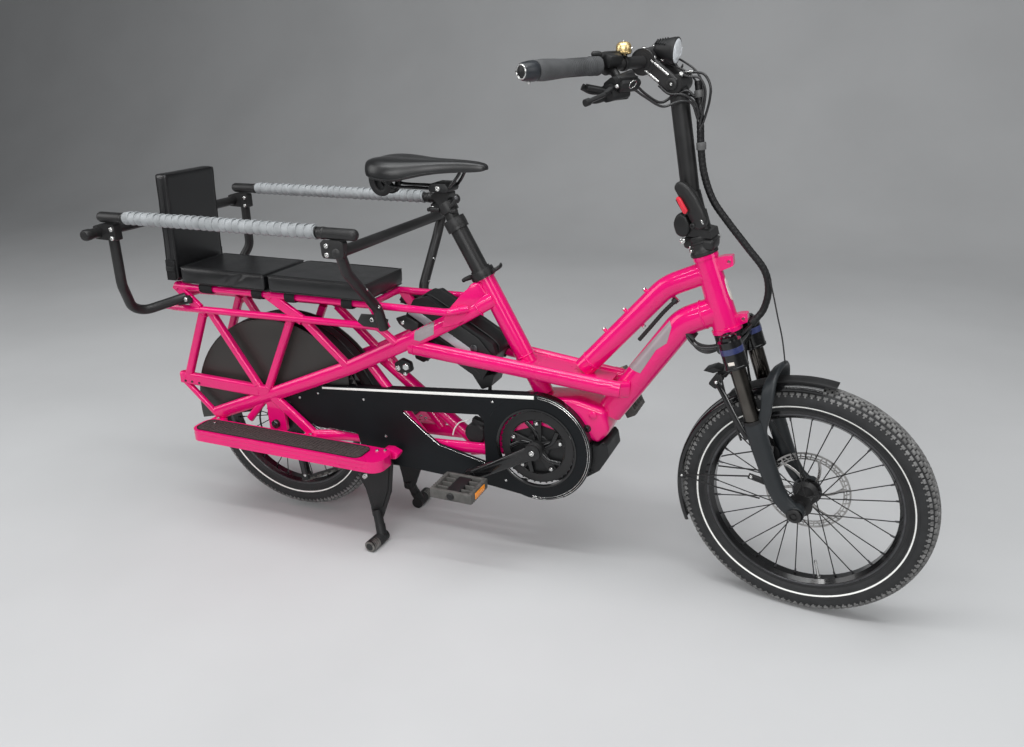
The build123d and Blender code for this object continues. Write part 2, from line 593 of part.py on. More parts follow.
with BuildPart() as brake_levers:
    for s in BOTH:
        bar(on_bar(116, s), on_bar(132, s), 34)
        bar(on_bar(115, s), on_bar(133, s), 22.2, mode=Mode.SUBTRACT)
        bar(on_bar(124, s, 8, 12), on_bar(124, s, 24, 26), 16)
        bar(on_bar(96, s, 24, 28), on_bar(150, s, 34, 32), 30, 24, corner=7)
        bar(on_bar(112, s, 42, 30), on_bar(156, s, 46, 30), 26, 30, corner=7)
        bar(on_bar(146, s, 36, 36), on_bar(176, s, 46, 42), 11, 9, corner=3)
        bar(on_bar(176, s, 46, 42), on_bar(216, s, 56, 40), 11, 8, corner=3)
        bar(on_bar(211, s, 55, 40), on_bar(221, s, 57, 40), 13)
        bar(on_bar(150, s, 42, 22), on_bar(182, s, 34, 4), 18, 8, corner=3)
place(brake_levers, "brake_levers", True)

# Lamp on a bracket ahead of the stem clamp.
with BuildPart() as headlight:
    with BuildSketch(Plane(origin=(944, 0, 1147), x_dir=(0, 1, 0), z_dir=(1, 0, -0.1))):
        Ellipse(15, 16)
    with BuildSketch(Plane(origin=(974, 0, 1137), x_dir=(0, 1, 0), z_dir=(1, 0, -0.1))):
        Ellipse(23, 25)
    loft()
    bar((974, 0, 1137), (986, 0, 1135.8), 46, 50)
    slab([(944, 1124), (958, 1120), (976, 1120), (970, 1136), (948, 1140)], -9, 9)
    add(stem.part, mode=Mode.SUBTRACT)
    add(handlebar.part, mode=Mode.SUBTRACT)
place(headlight, "headlight", True)

with BuildPart() as bell:
    bar(on_bar(84, -1, -11.8), on_bar(84, -1, -18), 16)
    with BuildSketch(Plane(origin=on_bar(84, -1, -17), z_dir=(0, 0, 1))):
        Circle(14)
    extrude(amount=21, taper=16)
    bar(on_bar(78, -1), on_bar(90, -1), 27)
    bar(on_bar(77, -1), on_bar(91, -1), 22.2, mode=Mode.SUBTRACT)
place(bell, "bell", True)

# Cable harness, held at the bar and at the head tube's lower ear.
HARNESS = [(1028, -6, 1088), (1034, -8, 1050), (1037, -8, 1004), (1039, -8, 962), (1047, -8, 916), (1067, -8, 868), (1099, -6, 826),
           (1142, -4, 778), (1180, -3, 736), (1193, -2, 696), (1186, -2, 656), (1168, -8, 628)]


def cord_radii(points):
    """Corner radii for a cord: 0.45 of the shorter run over the tangent of half the turn."""
    out = []
    for p, q, r in zip(points, points[1:], points[2:]):
        u, v = Vector(*q) - Vector(*p), Vector(*r) - Vector(*q)
        out.append(0.45 * min(u.length, v.length) / math.tan(math.radians(u.get_angle(v)) / 2))
    return out


with BuildPart() as cable_harness:
    radii = cord_radii(HARNESS)
    print("harness radii", [round(r) for r in radii])
    with BuildLine() as path:
        FilletPolyline(*HARNESS, radius=radii)
    with BuildSketch(frame_at(HARNESS[0], HARNESS[1])[0]):
        Circle(7)
    sweep(path=path.wires()[0])
    print("harness length", round(path.wires()[0].length), "volume over section", round(cable_harness.part.volume / (math.pi * 49)))
place(cable_harness, "cable_harness")

# ---------------------------------------------------------------- cranks
ce = [(math.cos(math.radians(CRANK_REST + t)), math.sin(math.radians(CRANK_REST + t))) for t in (0, 180)]
EYES = [(BB[0] + CRANK * c, BB[2] + CRANK * k) for c, k in ce]
with BuildPart() as crankset:
    bar((BB[0], -84, BB[2]), (BB[0], 84, BB[2]), 24)
    for (ex, ez), s in zip(EYES, BOTH):
        bar((BB[0], s * 79, BB[2]), (ex, s * 93, ez), 15, 28, corner=5)
        disc(BB, 19, *sorted((s * 66, s * 87)))
        disc((ex, 0, ez), 15, *sorted((s * 86, s * 100)))
        disc((ex, 0, ez), 7.05, *sorted((s * 80, s * 101)), mode=Mode.SUBTRACT)
    # chainring on a five-armed spider
    disc(BB, 88, -52, -48)
    disc(BB, 66, -53, -47, mode=Mode.SUBTRACT)
    for i in range(5):
        a = math.radians(90 + 72 * i)
        bar((BB[0] + 12 * math.cos(a), -50, BB[2] + 12 * math.sin(a)), (BB[0] + 70 * math.cos(a), -50, BB[2] + 70 * math.sin(a)), 6, 20, corner=2)
    bar((BB[0], -72, BB[2]), (BB[0], -47, BB[2]), 34)
place(crankset, "crankset")

# The left pedal hangs tilted behind the down tube.
for (ex, ez), s, side, tilt in zip(EYES, BOTH, ("right", "left"), (0, 62)):
    with BuildPart() as pedal:
        slab([(ex - 52, ez - 8), (ex - 44, ez - 13), (ex + 44, ez - 13), (ex + 52, ez - 8), (ex + 52, ez + 8), (ex + 44, ez + 13), (ex - 44, ez + 13), (ex - 52, ez + 8)], *sorted((s * 112, s * 202)))
        for x in (-28, 28):
            slab([(ex + x - 12, ez - 14), (ex + x + 12, ez - 14), (ex + x + 12, ez + 14), (ex + x - 12, ez + 14)], *sorted((s * 122, s * 192)), mode=Mode.SUBTRACT)
        bar((ex, s * 87, ez), (ex, s * 114, ez), 14)
        pedal.part = pedal.part.rotate(Axis((ex, 0, ez), (0, 1, 0)), tilt)
    place(pedal, f"pedal_{side}")
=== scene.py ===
import math
import random

import bmesh
import bpy
from mathutils import Matrix, Vector, noise
from mathutils.bvhtree import BVHTree


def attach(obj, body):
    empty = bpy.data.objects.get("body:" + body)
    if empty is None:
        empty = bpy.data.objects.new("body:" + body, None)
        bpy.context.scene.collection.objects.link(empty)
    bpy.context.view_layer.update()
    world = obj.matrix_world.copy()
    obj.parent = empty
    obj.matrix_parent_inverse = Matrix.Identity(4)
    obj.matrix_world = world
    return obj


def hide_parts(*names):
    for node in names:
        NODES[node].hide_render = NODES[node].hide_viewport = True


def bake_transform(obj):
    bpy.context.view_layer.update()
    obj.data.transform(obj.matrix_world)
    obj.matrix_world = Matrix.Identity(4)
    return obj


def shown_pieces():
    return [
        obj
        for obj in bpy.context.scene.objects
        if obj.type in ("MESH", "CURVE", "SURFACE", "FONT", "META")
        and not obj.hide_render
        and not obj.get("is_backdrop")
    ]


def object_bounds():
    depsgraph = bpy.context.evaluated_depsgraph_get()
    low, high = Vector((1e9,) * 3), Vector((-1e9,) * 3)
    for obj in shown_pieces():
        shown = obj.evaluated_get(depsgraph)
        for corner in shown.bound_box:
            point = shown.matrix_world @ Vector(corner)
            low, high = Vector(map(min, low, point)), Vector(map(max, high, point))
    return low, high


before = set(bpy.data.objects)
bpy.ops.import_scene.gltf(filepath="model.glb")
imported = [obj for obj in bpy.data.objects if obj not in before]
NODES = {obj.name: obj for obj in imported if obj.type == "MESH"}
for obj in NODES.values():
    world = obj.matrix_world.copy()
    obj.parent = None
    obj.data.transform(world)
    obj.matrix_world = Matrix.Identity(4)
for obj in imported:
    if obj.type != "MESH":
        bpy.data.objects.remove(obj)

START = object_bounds()
random.seed(11)
pi, sin, cos = math.pi, math.sin, math.cos

# ------------------------------------------------------------ the row frame
# Pieces are drawn in the bicycle's own millimetres, then set level like the CAD.
LEVEL = Matrix.Translation((-0.6131, 0, 0.023315)) @ Matrix.Rotation(math.radians(0.6167), 4, "Y")
PT, UP, AHEAD = Vector((1088.3, 0, 683.3)), Vector((-0.34202, 0, 0.93969)), Vector((0.93969, 0, 0.34202))
SIDE = Vector((0, 1, 0))
TURN = LEVEL @ Matrix.Translation(PT / 1000) @ Matrix.Rotation(math.radians(-8.4), 4, UP) @ Matrix.Translation(-PT / 1000)
MM = Matrix.Scale(0.001, 4)
TURNED = ("steering", "handlepost", "front_wheel")


def V(*p):
    return Vector(p)


def fork(s, f=0.0, y=0.0):
    return PT - UP * s + AHEAD * f + V(0, y, 0)


SWEEP = math.radians(20.0)


def on_bar(length, side, drop=0.0, ahead=0.0):
    run = max(length - 34, 0)
    return V(931 - run * sin(SWEEP) + ahead * cos(SWEEP),
             side * (min(length, 34) + run * cos(SWEEP) + ahead * sin(SWEEP)), 1124 + run * 0.016 - drop)


# ------------------------------------------------------------ finishes
def finish(name, rgb, rough, metal=0.0, spread=0.12, rough_spread=0.06, scale=30.0, bump=0.0, bump_scale=600.0, coat=0.0, coat_rough=0.06, spec=0.5, sheen=0.0, glow=0.0, wave=None, second=None):
    """Procedural finish: colour and roughness drift with noise, and a fine bump."""
    m = bpy.data.materials.new(name)
    m.use_nodes = True
    nt = m.node_tree
    new, link = nt.nodes.new, nt.links.new
    b = nt.nodes["Principled BSDF"]
    tc = new("ShaderNodeTexCoord")
    n = new("ShaderNodeTexNoise")
    n.inputs["Scale"].default_value = scale
    n.inputs["Detail"].default_value = 5
    link(tc.outputs["Object"], n.inputs["Vector"])
    mix = new("ShaderNodeMix")
    mix.data_type = "RGBA"
    lo = second or [c * (1 - spread) for c in rgb]
    mix.inputs["A"].default_value = (*lo, 1)
    mix.inputs["B"].default_value = (*[min(1, c * (1 + spread)) for c in rgb], 1)
    ramp = new("ShaderNodeMapRange")
    for k, v in (("From Min", 0.35), ("From Max", 0.65), ("To Min", 0.0), ("To Max", 1.0)):
        ramp.inputs[k].default_value = v
    link(n.outputs["Fac"], ramp.inputs["Value"])
    link(ramp.outputs["Result"], mix.inputs["Factor"])
    link(mix.outputs["Result"], b.inputs["Base Color"])
    rr = new("ShaderNodeMapRange")
    for k, v in (("From Min", 0.3), ("From Max", 0.7), ("To Min", max(0.02, rough - rough_spread)), ("To Max", min(1, rough + rough_spread))):
        rr.inputs[k].default_value = v
    link(n.outputs["Fac"], rr.inputs["Value"])
    link(rr.outputs["Result"], b.inputs["Roughness"])
    b.inputs["Metallic"].default_value = metal
    b.inputs["Specular IOR Level"].default_value = spec
    b.inputs["Coat Weight"].default_value = coat
    b.inputs["Coat Roughness"].default_value = coat_rough
    b.inputs["Sheen Weight"].default_value = sheen
    # glow adds emission in the base colour; on the white stripes and the pedal reflectors this is painted light
    if glow:
        b.inputs["Emission Color"].default_value = (*rgb, 1)
        b.inputs["Emission Strength"].default_value = glow
    if bump:
        if wave:
            t = new("ShaderNodeTexWave")
            t.wave_type = "BANDS"
            t.bands_direction = wave
            t.inputs["Scale"].default_value = bump_scale
            t.inputs["Distortion"].default_value = 1.5
            out = t.outputs["Fac"]
        else:
            t = new("ShaderNodeTexNoise")
            t.inputs["Scale"].default_value = bump_scale
            t.inputs["Detail"].default_value = 3
            out = t.outputs["Fac"]
        link(tc.outputs["Object"], t.inputs["Vector"])
        bp = new("ShaderNodeBump")
        bp.inputs["Strength"].default_value = min(1.0, bump)
        bp.inputs["Distance"].default_value = 0.0006
        link(out, bp.inputs["Height"])
        link(bp.outputs["Normal"], b.inputs["Normal"])
    return m


PINK = finish("pink_paint", (0.80, 0.0006, 0.165), 0.3, spread=0.04, rough_spread=0.05, scale=9, bump=0.03, bump_scale=900, coat=0.9, coat_rough=0.04, spec=0.2)
WELD = finish("pink_weld", (0.82, 0.002, 0.19), 0.3, spread=0.06, scale=60, bump=0.12, bump_scale=500, coat=0.4, coat_rough=0.08, spec=0.35)
SATIN = finish("satin_black_metal", (0.0150, 0.0148, 0.0152), 0.42, spread=0.25, rough_spread=0.08, scale=18, bump=0.06, bump_scale=1500, spec=0.42)
DULL = finish("dull_black_metal", (0.0075, 0.0075, 0.008), 0.5, spread=0.25, rough_spread=0.1, scale=25, bump=0.1, bump_scale=1200, spec=0.45)
GLOSS = finish("gloss_black", (0.0045, 0.0045, 0.005), 0.2, spread=0.3, rough_spread=0.05, scale=14, coat=0.4, coat_rough=0.05, spec=0.4)
PLASTIC = finish("black_plastic", (0.0075, 0.0078, 0.0084), 0.48, spread=0.2, rough_spread=0.09, scale=22, bump=0.12, bump_scale=1700, spec=0.45)
GUARD = finish("guard_plastic", (0.003, 0.0042, 0.0056), 0.55, spread=0.3, rough_spread=0.08, scale=12, bump=0.06, bump_scale=1500, spec=0.25)
SKIRT = finish("skirt_plastic", (0.034, 0.032, 0.029), 0.42, spread=0.12, rough_spread=0.08, scale=7, bump=0.05, bump_scale=700, spec=0.5)
RUBBER = finish("tyre_rubber", (0.026, 0.0265, 0.0275), 0.72, spread=0.22, rough_spread=0.08, scale=40, bump=0.3, bump_scale=900, spec=0.35)
TREAD = finish("tread_dusty", (0.17, 0.169, 0.167), 0.88, spread=0.35, rough_spread=0.06, scale=55, bump=0.4, bump_scale=700, spec=0.25)
# white stripe finish: its small glow is painted light, the stripe is no lamp
STRIPE = finish("reflective_white_painted_glow", (0.83, 0.83, 0.80), 0.42, spread=0.05, rough_spread=0.06, scale=80, glow=0.12)
VINYL = finish("vinyl_black", (0.0032, 0.0032, 0.004), 0.4, spread=0.25, rough_spread=0.06, scale=26, bump=0.25, bump_scale=1300, spec=0.5, coat=0.45, coat_rough=0.28)
WEB = finish("webbing", (0.012, 0.012, 0.013), 0.8, spread=0.3, scale=120, bump=0.7, bump_scale=260, wave="X", spec=0.3)
THREAD = finish("stitch", (0.02, 0.02, 0.021), 0.75, spread=0.3, scale=300, spec=0.3)
SADDLE_SKIN = finish("saddle_skin", (0.0085, 0.0088, 0.0095), 0.36, spread=0.2, rough_spread=0.06, scale=20, bump=0.1, bump_scale=1800, spec=0.6)
TAPE = finish("grey_tape", (0.31, 0.325, 0.335), 0.6, spread=0.16, rough_spread=0.08, scale=45, bump=0.35, bump_scale=900, spec=0.35)
# dark seam finish for the tape: painted shade in the crease between wraps
TAPE_SEAM_SHADE = finish("tape_seam_painted_shade", (0.06, 0.068, 0.076), 0.75, spread=0.3, scale=150, spec=0.3)
GRIP = finish("grip_rubber", (0.075, 0.077, 0.08), 0.68, spread=0.18, rough_spread=0.07, scale=35, bump=0.45, bump_scale=1300, spec=0.35)
GRIP_END = finish("grip_clamp", (0.018, 0.021, 0.026), 0.36, spread=0.15, scale=30, bump=0.05, bump_scale=900)
STEEL = finish("bright_steel", (0.66, 0.66, 0.65), 0.25, metal=1.0, spread=0.1, rough_spread=0.08, scale=90, bump=0.04, bump_scale=1600)
ROTOR = finish("rotor_steel", (0.42, 0.41, 0.40), 0.33, metal=1.0, spread=0.15, rough_spread=0.1, scale=60, bump=0.15, bump_scale=900)
FOOT = finish("worn_foot_metal", (0.26, 0.25, 0.235), 0.5, metal=1.0, spread=0.35, scale=70, rough_spread=0.12)
DARK_STEEL = finish("dark_steel", (0.10, 0.10, 0.105), 0.35, metal=1.0, spread=0.2, scale=60, rough_spread=0.1)
BRASS = finish("brass", (0.86, 0.66, 0.33), 0.36, metal=1.0, spread=0.08, rough_spread=0.06, scale=50, bump=0.04, bump_scale=700)
LENS = finish("lamp_lens", (0.72, 0.75, 0.78), 0.12, metal=0.25, spread=0.12, rough_spread=0.04, scale=160, coat=1.0, coat_rough=0.02, glow=0.06)
SLATE = finish("slate_grey", (0.0135, 0.0165, 0.019), 0.42, spread=0.15, rough_spread=0.07, scale=18, bump=0.06, bump_scale=1400, spec=0.5)
STANCHION = finish("dark_stanchion", (0.10, 0.092, 0.083), 0.16, metal=1.0, spread=0.15, rough_spread=0.05, scale=25)
BLUE = finish("blue_band", (0.025, 0.035, 0.12), 0.3, spread=0.2, scale=60, coat=0.6)
BADGE = finish("badge", (0.80, 0.74, 0.68), 0.3, metal=0.15, spread=0.06, scale=80, coat=0.7)
GREY = finish("grey_panel", (0.30, 0.26, 0.275), 0.36, spread=0.06, rough_spread=0.05, scale=30, coat=0.4)
RED = finish("red_catch", (0.70, 0.022, 0.045), 0.4, spread=0.1, scale=60, coat=0.2)
# orange reflector finish: its glow is painted light, the reflectors are no lamps
ORANGE = finish("orange_reflector_painted_glow", (0.80, 0.27, 0.02), 0.25, spread=0.2, scale=220, bump=0.6, bump_scale=420, coat=0.8, glow=0.08)
RESIN = finish("pedal_resin", (0.085, 0.082, 0.077), 0.6, spread=0.2, rough_spread=0.08, scale=70, bump=0.4, bump_scale=800)
GRIT = finish("board_grit", (0.055, 0.043, 0.042), 0.82, spread=0.4, rough_spread=0.08, scale=240, bump=1.0, bump_scale=900, spec=0.3)
GREYPL = finish("grey_plastic", (0.10, 0.10, 0.10), 0.5, spread=0.15, scale=40, bump=0.15, bump_scale=900)
CHAIN = finish("chain_steel", (0.13, 0.125, 0.115), 0.4, metal=1.0, spread=0.25, scale=120, rough_spread=0.1)
CABLE = finish("cable_skin", (0.012, 0.012, 0.013), 0.33, spread=0.2, scale=60, spec=0.6)
BRAID = finish("braided_sleeve", (0.006, 0.006, 0.0068), 0.4, spread=0.6, scale=420, bump=0.9, bump_scale=520, spec=0.35)


# ------------------------------------------------------------ drawing
class Shape:
    """Vertices, faces and finish numbers of one piece, in millimetres."""

    def __init__(self):
        self.v, self.f, self.m = [], [], []

    def add(self, part, mat=0):
        verts, faces = part
        n = len(self.v)
        self.v += [Vector(p) for p in verts]
        self.f += [tuple(i + n for i in f) for f in faces]
        self.m += [mat] * len(faces)
        return self


def smooth(points, step=6.0, closed=False):
    """Rounded path through points, about step apart."""
    p = [Vector(q) for q in points]
    n = len(p)
    out = []
    for i in range(n if closed else n - 1):
        a, b = p[i], p[(i + 1) % n]
        p0 = p[i - 1] if (i or closed) else a * 2 - b
        p3 = p[(i + 2) % n] if (i < n - 2 or closed) else b * 2 - a
        k = max(1, round((b - a).length / step))
        for j in range(k):
            t = j / k
            out.append(0.5 * ((2 * a) + (b - p0) * t + (2 * p0 - 5 * a + 4 * b - p3) * t * t + (3 * a - p0 - 3 * b + p3) * t ** 3))
    if not closed:
        out.append(p[-1])
    return out


def tube(points, r, deep=None, sides=18, side=None, closed=False, caps=True, squash=None):
    """Tube along points. r is the half width along side, deep the other half width."""
    p = [Vector(q) for q in points]
    n = len(p)
    rs = list(r) if isinstance(r, (list, tuple)) else [r] * n
    ds = rs if deep is None else (list(deep) if isinstance(deep, (list, tuple)) else [deep] * n)
    tang = []
    for i in range(n):
        a = p[i - 1] if (i or closed) else p[i]
        b = p[(i + 1) % n] if (i < n - 1 or closed) else p[i]
        tang.append((b - a).normalized())
    ref = Vector(side) if side is not None else (V(0, 1, 0) if abs(tang[0].y) < 0.9 else V(1, 0, 0))
    u = (ref - tang[0] * ref.dot(tang[0])).normalized()
    verts, faces = [], []
    for i in range(n):
        t = tang[i]
        if side is not None:
            q = Vector(side) - t * Vector(side).dot(t)
            u = q.normalized() if q.length > 0.05 else (u - t * u.dot(t)).normalized()
        else:
            u = (u - t * u.dot(t)).normalized()
        w = t.cross(u)
        for k in range(sides):
            a = 2 * pi * k / sides
            ca, sa = cos(a), sin(a)
            if squash:
                ca = math.copysign(abs(ca) ** squash, ca)
                sa = math.copysign(abs(sa) ** squash, sa)
            verts.append(p[i] + u * (rs[i] * ca) + w * (ds[i] * sa))
    for i in range(n if closed else n - 1):
        j = (i + 1) % n
        for k in range(sides):
            m = (k + 1) % sides
            faces.append((i * sides + k, i * sides + m, j * sides + m, j * sides + k))
    if caps and not closed:
        faces.append(tuple(range(sides))[::-1])
        faces.append(tuple((n - 1) * sides + k for k in range(sides)))
    return verts, faces


def dome(points, r, sides=18, **k):
    """Tube with rounded ends."""
    p = [Vector(q) for q in points]
    d0, d1 = (p[1] - p[0]).normalized(), (p[-1] - p[-2]).normalized()
    head = [p[0] + d0 * r * (1 - cos(a)) for a in (0.0, 0.4, 0.8, 1.2)]
    tail = [p[-1] - d1 * r * (1 - cos(a)) for a in (1.2, 0.8, 0.4, 0.0)]
    rr = [r * 0.12, r * 0.55, r * 0.82, r * 0.97] + [r] * (len(p) - 2) + [r * 0.97, r * 0.82, r * 0.55, r * 0.12]
    return tube(head + p[1:-1] + tail, rr, sides=sides, **k)


def lathe(profile, centre, axis=(0, 1, 0), segs=36, closed=False, start=0.0, sweep=2 * pi, ref=None, squeeze=(1, 1)):
    """Turned piece: profile of radius, height along axis. A part turn keeps its ends open."""
    ax, c = Vector(axis).normalized(), Vector(centre)
    rf = Vector(ref) if ref is not None else (V(0, 0, 1) if abs(ax.z) < 0.9 else V(1, 0, 0))
    u = (rf - ax * rf.dot(ax)).normalized()
    w = ax.cross(u)
    whole = sweep > 2 * pi - 1e-6
    rings = segs if whole else segs + 1
    m = len(profile)
    verts, faces = [], []
    for k in range(rings):
        a = start + sweep * k / segs
        d = u * cos(a) * squeeze[0] + w * sin(a) * squeeze[1]
        verts += [c + ax * h + d * r for r, h in profile]
    for k in range(segs):
        l = (k + 1) % rings
        for i in range(m if closed else m - 1):
            j = (i + 1) % m
            faces.append((k * m + i, l * m + i, l * m + j, k * m + j))
    if not whole and closed:
        faces.append(tuple(range(m)))
        faces.append(tuple((rings - 1) * m + i for i in range(m))[::-1])
    return verts, faces


def prism(outline, move, r=0.0, seg=2):
    """Flat piece with an outline of points, pushed by move, its edges eased by r."""
    p, d = [Vector(q) for q in outline], Vector(move)
    bm = bmesh.new()
    lo = [bm.verts.new(q) for q in p]
    hi = [bm.verts.new(q + d) for q in p]
    bm.faces.new(lo[::-1])
    bm.faces.new(hi)
    for i in range(len(p)):
        j = (i + 1) % len(p)
        bm.faces.new((lo[i], lo[j], hi[j], hi[i]))
    if r:
        bmesh.ops.bevel(bm, geom=bm.edges[:], offset=r, segments=seg, affect="EDGES", profile=0.5)
    bm.verts.index_update()
    out = [v.co.copy() for v in bm.verts], [tuple(v.index for v in f.verts) for f in bm.faces]
    bm.free()
    return out


def slab(xz, y0, y1, r=0.0, seg=2):
    return prism([(x, y0, z) for x, z in xz], (0, y1 - y0, 0), r, seg)


def block(c, size, r=0.0, x=(1, 0, 0), z=(0, 0, 1), seg=2):
    """Box round c, its sides along x and z, its edges eased by r."""
    X = Vector(x).normalized()
    Z = (Vector(z) - X * Vector(z).dot(X)).normalized()
    Y = Z.cross(X)
    a, b, h = (s / 2 for s in size)
    C = Vector(c)
    base = [C - X * a - Y * b - Z * h, C + X * a - Y * b - Z * h, C + X * a + Y * b - Z * h, C - X * a + Y * b - Z * h]
    return prism(base, Z * 2 * h, r, seg)


def bolt(p, d, r=4.5, h=3.5, segs=18, hexed=True):
    """Button head with a socket."""
    verts, faces = lathe([(r, -1.5), (r, h * 0.35), (r * 0.9, h * 0.75), (r * 0.62, h), (r * 0.46, h), (r * 0.44, h * 0.35), (0.02, h * 0.35)], p, d, segs)
    return verts, faces


def nut(p, d, r=5.5, h=4.5):
    """Six-sided head with an eased rim."""
    a, b = lathe([(r, 0), (r, h * 0.75), (r * 0.84, h), (0.02, h)], p, d, 6)
    return a, b


def ring(p, d, r, thick, segs=40, sides=10, squeeze=(1, 1)):
    prof = [(r + thick * cos(2 * pi * k / sides), thick * sin(2 * pi * k / sides)) for k in range(sides)]
    return lathe(prof, p, d, segs, closed=True, squeeze=squeeze)


def make(name, shape, mats, body, turned=None, stands_for=(), sharp=38, bevel=0.0, level=0, on=None):
    """The piece as an object in the row frame, riding on body."""
    me = bpy.data.meshes.new(name)
    world = (TURN if (body in TURNED if turned is None else turned) else LEVEL) @ MM
    me.from_pydata([world @ p for p in shape.v], [], shape.f)
    me.validate()
    for m in mats:
        me.materials.append(m)
    if len(me.polygons) == len(shape.m):
        me.polygons.foreach_set("material_index", shape.m)
    bm = bmesh.new()
    bm.from_mesh(me)
    bmesh.ops.recalc_face_normals(bm, faces=bm.faces[:])
    lim = math.radians(sharp)
    for f in bm.faces:
        f.smooth = True
    for e in bm.edges:
        if len(e.link_faces) == 2 and e.calc_face_angle(0) > lim:
            e.smooth = False
    bm.to_mesh(me)
    bm.free()
    o = bpy.data.objects.new(name, me)
    bpy.context.scene.collection.objects.link(o)
    if bevel:
        b = o.modifiers.new("ease", "BEVEL")
        b.width, b.segments, b.limit_method, b.angle_limit = bevel / 1000, 2, "ANGLE", math.radians(40)
    if level:
        s = o.modifiers.new("round", "SUBSURF")
        s.levels = s.render_levels = level
    if stands_for:
        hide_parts(*stands_for)
    if isinstance(body, str):
        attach(o, body)
    return o


# ------------------------------------------------------------ finishes of the CAD nodes that stay
KEEP = {
    PINK: ("head_tube", "top_tube", "down_tube", "seat_tube", "side_tubes", "rear_frame_right", "rear_frame_left", "lower_stays", "cargo_rack", "running_boards"),
    SATIN: ("handlebar", "stem", "handlepost", "fold_lever", "post_base", "seatpost", "rear_hoop", "front_hoop", "crankset"),
    DULL: ("stand_bracket", "stand", "rear_axle", "derailleur"),
    GLOSS: ("front_rim", "rear_rim", "fork_upper"),
    PLASTIC: ("motor", "battery", "rear_mudguard", "brake_levers", "front_caliper", "rear_caliper"),
    GUARD: ("chain_guard",),
    SKIRT: ("wheel_guards",),
    SATIN.copy(): ("front_hub", "rear_hub"),
}
for m, names in KEEP.items():
    for n in names:
        NODES[n].data.materials.clear()
        NODES[n].data.materials.append(m)


def surface(node):
    """The node's surface, for patches laid on it."""
    o = NODES[node]
    return BVHTree.FromPolygons([v.co.copy() for v in o.data.vertices], [tuple(p.vertices) for p in o.data.polygons])


def decal(name, node, outline, way, mat, body, lift=0.5, cell=3.0, turned=False):
    """Thin patch of that outline (points off the node), dropped on the node along way."""
    world = (TURN if turned else LEVEL) @ MM
    tree = surface(node)
    d = (world.to_3x3() @ Vector(way)).normalized()
    pts = [world @ Vector(p) for p in outline]
    bm = bmesh.new()
    bm.faces.new([bm.verts.new(p) for p in pts])
    c = sum(pts, Vector()) / len(pts)
    a = d.orthogonal().normalized()
    b = d.cross(a)
    size = max((p - c).length for p in pts)
    k = int(size / (cell / 1000)) + 1
    for ax in (a, b):
        for i in range(-k, k + 1):
            bmesh.ops.bisect_plane(bm, geom=bm.verts[:] + bm.edges[:] + bm.faces[:], plane_co=c + ax * i * cell / 1000, plane_no=ax)
    gone = []
    for v in bm.verts:
        hit = tree.ray_cast(v.co - d * 0.3, d)
        if hit[0] is None:
            gone.append(v)
        else:
            n = hit[1] if hit[1].dot(d) < 0 else -hit[1]
            v.co = hit[0] + (n - d).normalized() * lift / 1000
    bmesh.ops.delete(bm, geom=gone, context="VERTS")
    top = bm.faces[:]
    ext = bmesh.ops.extrude_face_region(bm, geom=top)
    for v in [g for g in ext["geom"] if isinstance(g, bmesh.types.BMVert)]:
        v.co += d * 0.0012
    bmesh.ops.recalc_face_normals(bm, faces=bm.faces[:])
    for f in bm.faces:
        f.smooth = True
    for e in bm.edges:
        if len(e.link_faces) == 2 and e.calc_face_angle(0) > 0.7:
            e.smooth = False
    me = bpy.data.meshes.new(name)
    bm.to_mesh(me)
    bm.free()
    me.materials.append(mat)
    o = bpy.data.objects.new(name, me)
    bpy.context.scene.collection.objects.link(o)
    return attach(o, body)


# ------------------------------------------------------------ tyres
HUBS = {"front": V(1301.3, 0, 254), "rear": V(0, 0, 254)}
# radius, y of the right half of a tyre, bead to crown
HALF = [(202, 12.5), (205.5, 14.5), (210, 17.6), (216, 22.6), (223, 26.6), (231, 28.6), (238, 28.8), (245, 27.2), (251, 23.4), (255.5, 18), (258.4, 12), (260, 6), (260.4, 0)]
CROWN = [(y, r) for r, y in HALF[7:]]


def crown(y):
    """Radius and outward lean of the tread surface at y."""
    a = abs(y)
    pts = sorted(CROWN)
    for (y0, r0), (y1, r1) in zip(pts, pts[1:]):
        if y0 <= a <= y1:
            t = (a - y0) / (y1 - y0)
            return r0 + (r1 - r0) * t, math.copysign(math.atan2(r0 - r1, y1 - y0), y)
    return pts[-1][1], math.copysign(0.9, y)


